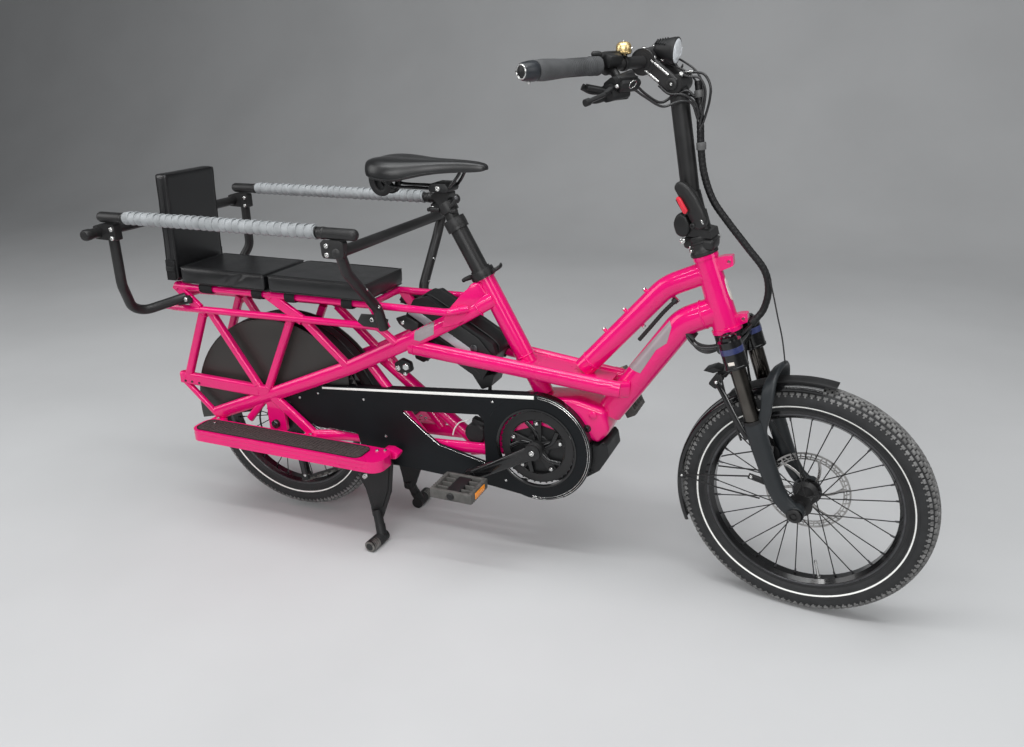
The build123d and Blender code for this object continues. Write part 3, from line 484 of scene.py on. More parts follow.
for name, hub in HUBS.items():
    s = Shape()
    prof = [(r, -y) for r, y in HALF] + [(r, y) for r, y in HALF[-2::-1]]
    s.add(lathe(prof + [(203, 9), (203, -9)], hub, segs=144, closed=True), 0)
    rows = [(-24.6, 5.4, 0.0, 120, 0.70), (-17.0, 6.6, 0.5, 120, 0.76), (-9.6, 6.4, 0.0, 120, 0.78), (-2.9, 5.2, 0.5, 120, 0.80),
            (2.9, 5.2, 0.0, 120, 0.80), (9.6, 6.4, 0.5, 120, 0.78), (17.0, 6.6, 0.0, 120, 0.76), (24.6, 5.4, 0.5, 120, 0.70)]
    for y, wide, shift, count, share in rows:
        r, lean = crown(y)
        for i in range(count):
            a0 = 2 * pi * (i + shift) / count
            half = pi / count * share
            for_v = []
            for lift, shrink in ((-0.8, 1.0), (1.9, 0.93), (2.5, 0.82)):
                for da, dy in ((-1, -1), (1, -1), (1, 1), (-1, 1)):
                    ang = a0 + da * half * shrink
                    yy = y + dy * wide / 2 * shrink * cos(lean)
                    rr = r - dy * wide / 2 * shrink * sin(lean) + lift * cos(lean)
                    yy += lift * sin(lean)
                    for_v.append(hub + V(rr * cos(ang), yy, rr * sin(ang)))
            fs = []
            for q in (0, 4):
                fs += [(q + k, q + (k + 1) % 4, q + 4 + (k + 1) % 4, q + 4 + k) for k in range(4)]
            s.add((for_v, fs + [(8, 9, 10, 11)]), 1)
    for side in (-1, 1):
        # ribs over the shoulder, and the pale ring on the wall
        for i in range(120):
            a0 = 2 * pi * i / 120
            d, t = V(cos(a0), 0, sin(a0)), V(-sin(a0), 0, cos(a0))
            s.add(block(hub + d * 246.5 + SIDE * side * 26.9, (3.2, 6.5, 1.3), x=t, z=(d * 0.45 + SIDE * side).normalized()), 1)
        s.add(lathe([(220.4, side * 25.3), (220.6, side * 26.0), (223.2, side * 27.2), (223.6, side * 26.6)], hub, segs=144, closed=True), 2)
        s.add(ring(hub + SIDE * side * 22.5, SIDE, 215.6, 0.8, 144, 6), 0)
        s.add(ring(hub + SIDE * side * 28.3, SIDE, 229.5, 0.6, 144, 6), 0)
    body = f"{name}_wheel"
    make(f"{name}_tyre_treaded", s, [RUBBER, TREAD, STRIPE], body, stands_for=(f"{name}_tyre",), sharp=50)
    # rim dressing: nipples, valve, wear line, machined band
    s = Shape()
    for i in range(28):
        side = i % 2
        a = 2 * pi * i / 28
        y1 = -4 if side == 0 else 4
        d = V(cos(a), 0, sin(a))
        s.add(lathe([(2.4, 0), (2.4, 3), (1.9, 9), (0.6, 10)], hub + d * 190.5 + SIDE * y1, -d + SIDE * (0.12 if side else -0.12), 8), 0)
    make(f"{name}_spoke_nipples", s, [DARK_STEEL], body)
    s = Shape()
    for side in (-1, 1):
        s.add(lathe([(199.2, side * 17.0), (199.6, side * 17.5), (202.6, side * 17.5), (203.0, side * 17.0)], hub, segs=96, closed=True), 0)
    make(f"{name}_rim_band", s, [DARK_STEEL], body)
    a = math.radians(-74.6 if name == "front" else 61)
    d = V(cos(a), 0, sin(a))
    s = Shape()
    s.add(lathe([(4.2, 0), (4.2, 2), (3.0, 2.5), (3.0, 22), (2.4, 24), (2.4, 32), (3.3, 32.5), (3.3, 41), (1.5, 42)], hub + d * 191, -d, 14), 0)
    make(f"{name}_valve", s, [BRASS if name == "rear" else STEEL], body)
    # brake rotor: two rims joined by slanted bars, and curved arms
    s = Shape()
    yc = 38.0
    for r0, r1 in ((86.2, 90), (74, 76.6), (79.6, 81.4)):
        s.add(lathe([(r0, -0.9), (r1, -0.9), (r1, 0.9), (r0, 0.9)], hub + SIDE * yc, SIDE, 96, closed=True), 0)
    for i in range(48):
        a = 2 * pi * i / 48
        d, t = V(cos(a), 0, sin(a)), V(-sin(a), 0, cos(a))
        s.add(block(hub + SIDE * yc + d * 81.8, (14.6, 1.7, 2.6), 0, x=(d + t * (0.5 if i % 2 else -0.2)), z=t), 0)
    for i in range(6):
        a = 2 * pi * i / 6 + 0.3
        pts = [hub + SIDE * (yc - 0.4 * k) + V(cos(a - 0.075 * k), 0, sin(a - 0.075 * k)) * (76 - 9.5 * k) for k in range(6)]
        s.add(tube(smooth(pts, 6), 0.9, 3.2, 8, side=SIDE), 0)
    s.add(lathe([(21, -1.6), (31, -1.6), (31, 1.0), (21, 1.0)], hub + SIDE * (yc - 1.6), SIDE, 48, closed=True), 1)
    for i in range(6):
        a = 2 * pi * i / 6
        s.add(bolt(hub + SIDE * (yc - 0.6) + V(cos(a), 0, sin(a)) * 25, SIDE, 3.4, 2.4), 2)
    make(f"{name}_rotor_cut", s, [ROTOR, DARK_STEEL, STEEL], body, stands_for=(f"{name}_disc",))
    # axle ends
    s = Shape()
    if name == "front":
        for side in (-1, 1):
            s.add(lathe([(15, 0), (15, 2.5), (13, 4), (8.5, 4), (8.5, 1), (4.5, 1), (4.5, 3.2), (0.1, 3.2)], fork(476.3, 53.3, side * 76), SIDE * side, 32), 0)
        make("front_axle_caps", s, [SATIN], "steering")
    else:
        for side in (-1, 1):
            s.add(nut(V(0, side * 80, 254), SIDE * side, 11.5, 7), 0)
            s.add(lathe([(6, 0), (6, 10), (4, 11), (0.1, 11)], V(0, side * 80, 254), SIDE * side, 20), 0)
        make("rear_axle_nuts", s, [DARK_STEEL], "frame")

# ------------------------------------------------------------ fork
s = Shape()
for side in (-1, 1):
    y = 62 * side
    path = smooth([fork(267, 22, y), fork(296, 22, y), fork(335, 22.5, y), fork(375, 24, y), fork(415, 27, y), fork(446, 34, y), fork(466, 45, y), fork(478, 53, y)], 7)
    n = len(path)
    wide = [18.6 + (12.5 - 18.6) * min(1, (i / (n - 1)) * 1.1) for i in range(n)]
    deep = [21.0 - 4.5 * (i / (n - 1)) ** 0.9 for i in range(n)]
    wide[0], deep[0] = 17.4, 19.6
    s.add(tube(path, wide, deep, 26, side=SIDE, squash=0.86), 0)
    s.add(lathe([(15.6, 0), (15.6, 5), (18, 7), (19.4, 7), (19.4, 0)], fork(268, 22, y), UP, 28), 1)
    s.add(lathe([(17, -12), (18, -11), (18, 11), (17, 12), (0.1, 12)], fork(476.3, 53.3, y), SIDE, 30), 0)
arch = smooth([fork(330, 24, 62), fork(306, 26, 64), fork(276, 38, 65), fork(248, 53, 63), fork(214, 66, 59), fork(193, 74, 46), fork(184, 78, 22), fork(182, 79, 0),
               fork(184, 78, -22), fork(193, 74, -46), fork(214, 66, -59), fork(248, 53, -63), fork(276, 38, -65), fork(306, 26, -64), fork(330, 24, -62)], 6)
n = len(arch)
wd = []
for i in range(n):
    t = abs(2 * i / (n - 1) - 1)
    wd.append(12.0 + 2.0 * (1 - t) if t < 0.45 else 11.5 + 8.0 * max(0.0, (t - 0.72) / 0.28) ** 1.3)
s.add(tube(arch, wd, 5.4, 22, side=(UP * 0.36 + AHEAD * 0.93), squash=0.55), 0)
s.add(tube([fork(476.3, 53.3, -50), fork(476.3, 53.3, 50)], 6.8, sides=20), 2)
make("fork_lowers_shaped", s, [SLATE, PLASTIC, DARK_STEEL], "steering", stands_for=("fork_lowers",), sharp=45)

s = Shape()
for side in (-1, 1):
    y = 62 * side
    s.add(tube([fork(140, 22, y), fork(290, 22, y)], 16.2, sides=40), 0)
make("fork_stanchions", s, [STANCHION], "steering")
s = Shape()
for side in (-1, 1):
    y = 62 * side
    s.add(lathe([(22.6, 0), (24.1, 0.8), (24.1, 12.2), (22.6, 13)], fork(114, 22, y), UP, 40, closed=True), 0)
    s.add(lathe([(23.4, 0), (24.6, 1), (24.6, 5), (23.4, 6)], fork(146, 22, y), UP, 40, closed=True), 1)
    s.add(lathe([(15, 2), (13.5, 4.5), (9, 5.5), (9, 3.5), (0.1, 3.5)], fork(80, 22, y), UP, 30), 1)
    s.add(block(fork(131, 22, y) + SIDE * side * 23.6, (13, 1.6, 7), 0.5, x=AHEAD, z=UP), 2)
make("fork_leg_bands", s, [BLUE, GLOSS, BADGE], "steering")

# front mudguard: glossy trough with a raised middle strip, mounts and stays
hub = HUBS["front"]


def arc(profile, a0, a1, segs):
    """Turned piece about the front wheel from a0 to a1, in degrees."""
    return lathe(profile, hub, (0, -1, 0), segs, closed=True, start=math.radians(a0), sweep=math.radians(a1 - a0), ref=(1, 0, 0))


s = Shape()
trough = [(258, -31.5), (263, -31.8), (267.5, -29), (269.5, -23), (270.3, -12), (270.5, 0), (270.3, 12), (269.5, 23), (267.5, 29), (263, 31.8), (258, 31.5),
          (258, 30), (262.5, 30.2), (266.2, 27.8), (267.6, 22), (268.2, 0), (267.6, -22), (266.2, -27.8), (262.5, -30.2), (258, -30)]
s.add(arc(trough, 85.5, 203.5, 90), 0)
strip = [(269.5, -17.5), (273, -17), (274.6, -14), (275, 0), (274.6, 14), (273, 17), (269.5, 17.5), (268.5, 0)]
s.add(arc(strip, 81.0, 128, 40), 1)
s.add(arc([(269.5, -3), (272, -2), (272, 2), (269.5, 3)], 128, 203, 50), 0)
make("front_mudguard_layered", s, [GLOSS, DULL], "steering", stands_for=("front_mudguard",), sharp=40)
s = Shape()
for side in (-1, 1):
    s.add(block(V(1110, side * 32, 503), (20, 10, 34), 4, x=(0.85, 0, -0.5), z=(0.5, 0, 0.85)), 0)
    s.add(tube(smooth([V(1110, side * 36, 503), V(1128, side * 46, 486), V(1150, side * 54, 455), V(1172, side * 60, 425), V(1192, side * 64, 400)], 5), 3.0, 6.5, 14, side=SIDE), 3)
    s.add(tube(smooth([V(1118, side * 34, 520), V(1134, side * 43, 478), V(1152, side * 50, 440), V(1178, side * 60, 392)], 5), 2.2, sides=10), 1)
    s.add(bolt(V(1112, side * 40, 503), SIDE * side, 4, 3), 2)
    s.add(tube([V(1046, side * 31, 262), V(1120, side * 50, 290), V(1206, side * 66, 318)], 1.7, sides=8), 1)
    s.add(tube([V(1046, side * 31, 262), V(1128, side * 48, 262), V(1226, side * 62, 268)], 1.7, sides=8), 1)
    s.add(block(V(1045, side * 30.5, 262), (16, 5, 16), 2), 0)
    s.add(bolt(V(1045, side * 33, 262), SIDE * side, 3, 2.5), 2)
    s.add(bolt(V(1206, side * 68, 318), SIDE * side, 4, 3), 2)
s.add(slab([(1078, 517), (1100, 528), (1118, 524), (1100, 515)], -26, 8, 1.2), 0)
s.add(block(V(1122, 0, 520), (34, 46, 10), 3, x=(0.8, 0, 0.5), z=(-0.5, 0, 0.8)), 0)
for side in (-1, 1):
    s.add(tube([V(1200, side * 66, 318), V(1222, side * 62, 312), V(1244, side * 60, 306)], 4, 7, 12, side=SIDE), 0)
make("front_mudguard_mounts", s, [PLASTIC, SATIN, STEEL, GLOSS], "steering")

# front caliper dressing, hose
s = Shape()
s.add(tube(smooth([V(1200, 60, 352), V(1180, 66, 400), V(1160, 60, 460), V(1150, 46, 520), V(1148, 30, 570), V(1152, 12, 600), V(1166, -2, 622)], 8), 2.6, sides=10), 0)
s.add(bolt(V(1214, 63, 330), SIDE, 5, 4), 1)
s.add(bolt(V(1222, 63, 302), SIDE, 5, 4), 1)
s.add(block(V(1214, 27, 340), (22, 6, 16), 2), 2)
s.add(nut(V(1200, 52, 356), V(-0.6, 0, 0.8), 6, 8), 1)
make("front_brake_hose", s, [CABLE, STEEL, GREYPL], "steering")

# ------------------------------------------------------------ head, tubes
decal("head_badge", "head_tube", [PT + UP * u + AHEAD * 120 + SIDE * w for u, w in
      [(-24, -4), (-21, -7.5), (-8, -9.5), (8, -9.5), (21, -7.5), (24, -4), (24.5, 0), (24, 4), (21, 7.5), (8, 9.5), (-8, 9.5), (-21, 7.5), (-24, 4), (-24.5, 0)]],
      -AHEAD, BADGE, "frame", lift=1.4, cell=2.0)
PANEL = [(915, 503), (1000, 618), (1006, 606), (998, 571), (976, 553), (944, 497)]
for side, nm in ((-1, "right"), (1, "left")):
    decal(f"down_tube_panel_{nm}", "down_tube", [(x, side * 120, z) for x, z in PANEL], (0, -side, 0), GREY, "frame", lift=0.6)
    decal(f"stay_patch_{nm}", f"rear_frame_{nm}", [(x, side * 160, z) for x, z in [(424, 560), (470, 582), (470, 545), (437, 527), (424, 530)]], (0, -side, 0), GREY, "frame", lift=0.6)

s = Shape()
n = V(-0.743, 0, 0.669)
for x, z in [(862, 572), (905, 621), (948, 668)]:
    p = V(x, 0, z) + V(-10, 0, 9)
    s.add(bolt(p - n * 1.0, n, 4.3, 2.4), 0)
for x, z in [(942.4, 594), (1011.5, 656)]:
    s.add(bolt(V(x, 0, z), -n, 4.4, 2.6), 0)
    s.add(tube([V(x, 0, z), V(x, 0, z) + n * 14], 4, sides=14), 1)
for (hs, hf) in ((-54, 43.5), (66, 39)):
    for side in (-1, 1):
        s.add(ring(fork(hs, hf, side * 11), SIDE, 4.4, 1.1, 24, 8), 1)
make("frame_bosses", s, [STEEL, PINK], "frame")
s = Shape()
s.add(tube([V(1009, -4, 662), V(1004, -6, 655)], 7, sides=20), 0)
rod = smooth([V(1009, -6, 660), V(985, -6, 633), V(958, -6, 597), V(934, -6, 565)], 2)
s.add(tube(rod, [4.6 if i % 3 else 3.9 for i in range(len(rod))], sides=14), 0)
make("ribbed_rod", s, [PLASTIC], "frame")
s = Shape()
s.add(lathe([(0.1, 0), (20, 0), (25, 2), (27, 7), (27, 24), (22, 28), (0.1, 28)], V(548, -4, 292), -SIDE, 36), 0)
s.add(block(V(556, -20, 322), (34, 20, 14), 4, x=(0.9, 0, -0.3)), 0)
s.add(tube(smooth([V(532, -30, 326), V(510, -34, 318), V(496, -34, 300), V(488, -30, 280)], 4), 1.6, sides=8), 1)
make("sensor_cover", s, [PLASTIC, STRIPE], "frame")
# cables from the lower ear into the down tube
s = Shape()
for i in range(5):
    y, dz = -13 + 6 * i, random.uniform(-4, 4)
    drop = 2 + 4 * ((i * 2) % 5)
    s.add(tube(smooth([V(1168, y * 0.3 - 5, 626), V(1142, y * 0.8, 598 + dz), V(1110, y * 1.3, 578 - drop * 0.5), V(1080, y * 1.5, 570 - drop), V(1054, y * 1.4, 572 - drop * 0.6), V(1036, y * 1.1, 588 + dz)], 6), 2.6, sides=10), 0)
s.add(tube([V(1052, 0, 582), V(1030, 0, 598)], 20, 8, 20, side=SIDE), 1)
make("frame_cables", s, [CABLE, PLASTIC], "frame")


def weld(shape, p, axis, a, b, thick=1.7, side=SIDE, mat=0):
    """Wavy bead round a tube of half widths a and b."""
    ax = Vector(axis).normalized()
    u = (Vector(side) - ax * Vector(side).dot(ax)).normalized()
    w = ax.cross(u)
    pts, rad = [], []
    count = 54
    for k in range(count):
        t = 2 * pi * k / count
        pts.append(Vector(p) + u * a * cos(t) + w * b * sin(t))
        rad.append(thick * (1 + 0.16 * sin(t * 27)))
    shape.add(tube(pts, rad, sides=8, closed=True), mat)


s = Shape()
weld(s, (1059, 0, 719), (0.91, 0, 0.42), 20, 23.5)
weld(s, (1066, 0, 633), (0.92, 0, 0.39), 25, 30)
weld(s, (828, 0, 504), (0.66, 0, 0.75), 19.8, 23.4)
weld(s, (668, 0, 497), (0.48, 0, -0.87), 21.8, 21.8)
for side in (-1, 1):
    weld(s, (416, side * 63.6, 507), (-0.95, 0, 0.1), 12.8, 18.3)
    weld(s, (566, side * 28, 605), (0.75, -side * 0.26, 0.62), 9.4, 18.4)
    for x, z, ax, w, d in [(-284, 356, (0.4, 0, 0.92), 9, 10.5), (-194, 527, (0.4, 0, 0.92), 9, 10.5), (-164, 529, (-0.55, 0, 0.83), 9, 10), (-50, 353, (-0.55, 0, 0.83), 9, 10),
                           (-14, 352, (0.45, 0, 0.9), 9, 10), (70, 527, (0.45, 0, 0.9), 9, 10), (129, 532, (-0.74, 0, 0.67), 9, 10), (212, 458, (-0.74, 0, 0.67), 9, 10),
                           (-284, 342, (1, 0, 0), 9, 16.5), (-46, 336, (1, 0, 0), 9, 16.5)]:
        weld(s, (x, side * 70, z), ax, w, d, 1.4)
    for x, z in [(-262, 592), (-205, 553), (28, 592), (106, 553), (322, 592), (346, 556)]:
        weld(s, (x, side * 74, z), (0.6, 0, -0.75), 7, 8, 1.2)
    for x in (-262, -120, 30, 170, 305):
        weld(s, (x, side * 63, 600), (0, 1, 0), 8, 8, 1.2, side=(1, 0, 0))
    weld(s, (276, side * 58, 452), (0, 1, 0), 14.3, 14.3, 2, side=(1, 0, 0))
make("weld_beads", s, [WELD], "frame", sharp=80)

s = Shape()
shell = [(584, 252), (584, 318), (632, 384), (700, 412), (800, 421), (872, 404), (884, 352), (858, 321), (800, 336), (720, 352), (652, 326), (640, 252)]
s.add(slab(shell, -43, 43, 13, 5), 0)
s.add(lathe([(9, 0), (9.6, 1), (9.6, 3), (8, 4.5), (0.1, 4.8)], V(846, -42.5, 392), -SIDE, 28), 0)
make("motor_shell_rounded", s, [PINK], "frame", stands_for=("motor_shell",), sharp=60)
s = Shape()
for side in (-1, 1):
    s.add(tube(smooth([V(868, side * 40.4, 461), V(890, side * 38.4, 458.6), V(904, side * 33, 457), V(919, side * 24, 456)], 4), [13.2, 13.2, 13.0, 12.7, 12.4, 12.0, 11.6, 11.2, 10.8, 10.4, 10, 9.6, 9.2, 9, 9, 9, 9, 9, 9, 9, 9, 9][:len(smooth([V(868, side * 40.4, 461), V(890, side * 38.4, 458.6), V(904, side * 33, 457), V(919, side * 24, 456)], 4))], 18.7, 24, side=SIDE, squash=0.8), 0)
make("side_tube_roots", s, [PINK], "frame", sharp=60)
# Wide upper ends of the diagonal stays, where the rack's rails run in.
s = Shape()
for side in (-1, 1):
    verts, faces = slab([(492, 562), (500, 598), (518, 612), (542, 642), (554, 664), (572, 664), (592, 626), (592, 604), (566, 598), (530, 570)], -9.5, 9.5, 4)
    s.add(([V(q[0], side * (58 - 0.528 * (q[0] - 500)) + q[1], q[2]) for q in verts], faces), 0)
    s.add(tube(smooth([V(502, side * 71, 602), V(516, side * 66.5, 602.5), V(531, side * 55, 604), V(546, side * 42, 606)], 4), 8.7, sides=24), 0)
    weld(s, (530, side * 55, 604), (0.74, -side * 0.66, 0.1), 9.2, 9.2, 1.5, mat=1)
make("stay_ends", s, [PINK, WELD], "frame", sharp=50)

# ------------------------------------------------------------ handlepost, stem, bars
s = Shape()
s.add(slab([(1011, 876), (1015, 880), (1021, 876), (1036, 853), (1033, 847), (1027, 848)], -46, -38.5, 1.6), 0)
make("fold_catch", s, [RED], "handlepost")
s = Shape()
s.add(slab([(1004, 893), (1006, 902), (1013, 908), (1023, 906), (1037, 896), (1052, 878), (1064, 856), (1074, 836), (1071, 822), (1058, 816), (1048, 819), (1040, 836), (1024, 866)], -41, -24, 5, 4), 0)
s.add(slab([(1003, 822), (1007, 838), (1016, 846), (1030, 842), (1039, 824), (1036, 804), (1024, 796), (1010, 802)], -36, -12, 6, 4), 1)
s.add(slab([(1009, 872), (1018, 877), (1038, 848), (1029, 842)], -42, -38, 1.5, 2), 1)
make("fold_lever_rounded", s, [SATIN, PLASTIC], "handlepost", stands_for=("fold_lever",), sharp=60)
s = Shape()
s.add(lathe([(0.1, -0.4), (24.5, -0.4), (26.6, 0.6), (27.0, 3), (27.0, 8), (25.2, 10), (24.8, 22), (25.6, 32), (27.5, 38), (26, 41), (0.1, 41)], fork(-80.6), UP, 48), 0)
s.add(block(V(1052.5, 0, 783.5), (64, 46, 26), 9, seg=4), 0)
s.add(tube([V(1026, 33, 789), V(1076, 33, 789)], 7, sides=24), 1)
make("post_base_rounded", s, [SATIN, DULL], "steering", stands_for=("post_base",), sharp=60)
s = Shape()
s.add(block(V(1065, -40.4, 833), (10, 1.6, 3), 0.6, x=(0.6, 0, -0.8), z=(0.8, 0, 0.6)), 0)
s.add(bolt(V(1046, -40, 824), -SIDE, 5.5, 3), 1)
s.add(tube([V(1016, 33, 789), V(1080, 33, 789)], 4.2, sides=16), 0)
make("fold_lever_trim", s, [STEEL, SATIN, SATIN], "handlepost")
s = Shape()
s.add(bolt(V(1024, -30, 790), -SIDE, 6, 4), 0)
s.add(lathe([(25.6, 0), (26.6, 1), (26.6, 5), (25.6, 6)], fork(-106), UP, 44, closed=True), 1)
s.add(lathe([(26.8, 0), (28, 1), (28, 6), (26.8, 7)], fork(-80.8), UP, 44, closed=True), 1)
for k in range(2):
    s.add(bolt(fork(-96 - 9 * k, -18, -19), V(-0.5, -0.8, 0), 4, 3.5), 0)
    s.add(tube([fork(-96 - 9 * k, -20, -14), fork(-96 - 9 * k, -20, 14)], 4.5, sides=14), 1)
make("post_base_trim", s, [STEEL, SATIN], "steering")

s = Shape()
for side in (-1, 1):
    y = side * 32.4
    d, n = V(61, 0, -46).normalized(), V(46, 0, 61).normalized()
    for off, l0, l1 in ((9.5, 14, 58), (-11.5, 10, 50)):
        a, b = V(931, y, 1128) + d * l0 + n * off, V(931, y, 1128) + d * l1 + n * off
        s.add(tube([a, b], 0.9, 2.0, 8, side=SIDE), 0)
    s.add(lathe([(11, 0), (11, 3), (9, 4.5), (6, 4.5), (6, 3), (0.1, 3)], V(990, side * 31, 1085), SIDE * side, 30), 1)
    s.add(bolt(V(990, side * 34, 1085), SIDE * side, 3, 2.5), 0)
    s.add(bolt(V(931, side * 26, 1147), V(0.15, side * 0.2, 1), 4.2, 3.6), 0)
    s.add(bolt(V(952, side * 26, 1131), V(0.8, side * 0.1, 0.6), 4.2, 3.6), 0)
    s.add(bolt(V(916, side * 26, 1104), V(-0.55, 0, -0.8), 4.2, 3.6), 0)
    s.add(lathe([(23.4, -8), (24.6, -7), (24.6, 7), (23.4, 8)], V(931, side * 26, 1124), SIDE, 40, closed=True), 1)
s.add(bolt(V(1003, -20, 1101), V(0.5, -0.6, 0.6), 4.6, 4), 0)
s.add(tube([V(1004, 4, 1103), V(1020, 2, 1104)], 3.6, sides=12), 0)
s.add(tube([V(1002, -10, 1099), V(1015, -12, 1096)], 3.2, sides=12), 1)
s.add(lathe([(18.6, 0), (19.6, 1), (19.6, 8), (18.6, 9)], V(993.5, 0, 1066), V(-0.168, 0, 0.986), 40, closed=True), 1)
make("stem_trim", s, [STEEL, SATIN], "handlepost")

# grips with an end clamp and a bright ring
s = Shape()
for side in (-1, 1):
    ax = (on_bar(331, side) - on_bar(150, side)).normalized()
    prof = [(11.3, 0), (16.6, 0.6), (17.4, 3), (16.9, 8), (15.3, 24), (15.0, 48), (15.6, 74), (16.8, 98), (18.0, 120), (18.4, 134), (17.6, 145), (16.4, 149), (11.3, 149.5)]
    s.add(lathe(prof, on_bar(150, side), ax, 40, closed=True), 0)
    for k in range(18):
        s.add(ring(on_bar(158 + 4.2 * k, side), ax, 15.6 if k > 3 else 16.4, 0.5, 32, 6), 0)
    s.add(lathe([(11.3, 0), (17.0, 0.4), (17.6, 2), (17.0, 14), (15.0, 25), (13.6, 28.5), (12.5, 29.2), (11.3, 29.2)], on_bar(301.5, side), ax, 40, closed=True), 1)
    s.add(lathe([(10.6, -3), (10.6, 0), (9, 1.2), (0.1, 1.6)], on_bar(330.4, side), ax, 30), 3)
    s.add(ring(on_bar(330.5, side), ax, 11.6, 1.5, 40, 10), 2)
    s.add(block(on_bar(316, side) + V(0, 0, 0) + ax.cross(V(0, 0, 1)).normalized() * (-18.0 * side), (24, 2.2, 1.6), 0.5, x=ax), 3)
    s.add(bolt(on_bar(316, side, 17.6, 2), V(0, 0, -1), 3.4, 3), 2)
make("grips_clamped", s, [GRIP, GRIP_END, STEEL, PLASTIC], "handlepost", stands_for=("grips",))

# bell
s = Shape()
c = on_bar(84, -1)
ax = (on_bar(90, -1) - on_bar(78, -1)).normalized()
s.add(lathe([(11.4, -4.5), (13.4, -4.5), (13.6, -3), (13.6, 3), (13.4, 4.5), (11.4, 4.5)], c, ax, 36, closed=True), 1)
s.add(block(c + V(0, 0, 14), (12, 9, 6), 1.5, x=ax), 1)
s.add(lathe([(5, 0), (5, 3), (12.6, 3.4), (14.0, 5.0), (14.3, 12), (13.6, 17.5), (11.4, 21.5), (7, 23.6), (0.1, 24.2)], c + V(0, 0, 14), V(0, 0, 1), 48), 0)
s.add(ring(c + V(0, 0, 21), V(0, 0, 1), 14.3, 0.7, 48, 8), 0)
s.add(lathe([(2.6, 0), (2.6, 1.6), (1.6, 2.6), (0.1, 2.8)], c + V(0, 0, 37.8), V(0, 0, 1), 16), 2)
s.add(tube(smooth([c + V(0, 0, 16), c + V(16, -4, 18), c + V(19, -6, 25)], 3), 1.4, sides=8), 2)
s.add(dome([c + V(18.5, -6, 23), c + V(19, -6, 26), c + V(19.2, -6.2, 29)], 2.6, 12), 2)
make("bell_brass", s, [BRASS, PLASTIC, STEEL], "handlepost", stands_for=("bell",))

# lamp
s = Shape()
ax = V(1, 0, -0.1).normalized()
base = V(942, 0, 1147)
for side in (1,):
    s.add(lathe([(0.1, 0), (9, 0.6), (13, 3), (15.4, 8), (18.5, 20), (21.6, 30), (23.6, 38), (24.2, 44), (23.4, 45.2), (21.8, 45.2), (21.8, 40), (0.1, 36)], base + ax * 0 + V(0, 0, -1.5), ax, 48, squeeze=(1.03, 0.95)), 0)
for k in range(5):
    s.add(tube([base + ax * (6 + 5 * k) + V(0, -(13 + 1.5 * k), 9), base + ax * (6 + 5 * k) + V(0, 0, 15.5 + 1.2 * k), base + ax * (6 + 5 * k) + V(0, 13 + 1.5 * k, 9)], 1.1, sides=8), 0)
s.add(slab([(944, 1122), (958, 1118), (978, 1118), (974, 1132), (966, 1138), (948, 1140)], -8, 8, 2), 0)
s.add(bolt(V(962, -8, 1127), -SIDE, 4, 3), 1)
make("lamp_body", s, [PLASTIC, STEEL], "handlepost", stands_for=("headlight",))
s = Shape()
lens = [(21.9, 0), (21.6, 2.5), (18.5, 4.6), (12, 6.2), (5, 7.0), (0.1, 7.2)]
s.add(lathe(lens, base + ax * 42.6 + V(0, 0, -1.5), ax, 48, squeeze=(1.03, 0.95)), 0)
for k in range(-3, 4):
    h = 20 * math.sqrt(max(0.05, 1 - (k * 5.4 / 20) ** 2))
    c = base + ax * 47.6 + SIDE * k * 5.4 + V(0, 0, -1.5)
    s.add(tube([c - V(0, 0, h * 0.86) - ax * 3, c - V(0, 0, h * 0.45) + ax * 0.3, c + V(0, 0, h * 0.45) + ax * 0.3, c + V(0, 0, h * 0.86) - ax * 3], 0.7, sides=6), 0)
make("lamp_lens", s, [LENS], "handlepost")

# lever and shifter dressing
s = Shape()
for side in (-1, 1):
    ax = (on_bar(331, side) - on_bar(150, side)).normalized()
    for l in (118, 130):
        s.add(ring(on_bar(l, side), ax, 17.2, 1.0, 36, 8), 1)
    s.add(bolt(on_bar(124, side, 14, 16), V(0.5, 0, -0.6), 3.6, 3), 0)
    s.add(bolt(on_bar(150, side, 34, 48), V(0.3, side * 0.5, -0.9), 4, 3), 0)
    s.add(lathe([(4.5, 0), (6, 1), (6, 12), (4.5, 13)], on_bar(97, side, 25, 27), (on_bar(90, side, 22, 26) - on_bar(150, side, 34, 32)).normalized(), 20), 1)
    s.add(block(on_bar(124, side, 30, 46), (46, 26, 3), 1.2, x=ax, z=V(0.75, 0, -0.4)), 1)
shf = on_bar(122, -1, 54, 20)
axr = (on_bar(150, -1) - on_bar(100, -1)).normalized()
s.add(block(shf, (44, 24, 12), 4, x=axr), 1)
s.add(lathe([(9, 0), (9, 2), (7.5, 3), (0.1, 3)], shf + V(-14, -6, -1), V(-0.7, -0.6, 0.1), 28), 2)
s.add(tube(smooth([on_bar(150, -1, 44, 10), on_bar(168, -1, 42, 0), on_bar(184, -1, 34, -6)], 3), 6, 3.4, 14, side=V(0, 0, 1)), 1)
s.add(tube(smooth([on_bar(152, -1, 54, 24), on_bar(170, -1, 58, 18), on_bar(182, -1, 57, 14)], 3), 5, 2.6, 14, side=V(0, 0, 1)), 1)
s.add(block(on_bar(116, -1, -15, -3), (46, 20, 15), 5, x=axr, z=(-0.2, 0, 1)), 1)
s.add(block(on_bar(128, -1, -8, 16), (34, 20, 22), 5, x=axr, z=(0.3, 0, 1)), 1)
s.add(dome([on_bar(146, -1, -18, 6), on_bar(152, -1, -20, 2), on_bar(164, -1, -20, -2)], 5, 14), 1)
s.add(block(on_bar(118, -1, 30, 40), (52, 30, 24), 7, x=axr, z=(0.6, 0, 0.8)), 1)
s.add(ring(on_bar(118, -1, 32, 56), V(0.8, -0.3, -0.5), 8, 0.9, 28, 8), 0)
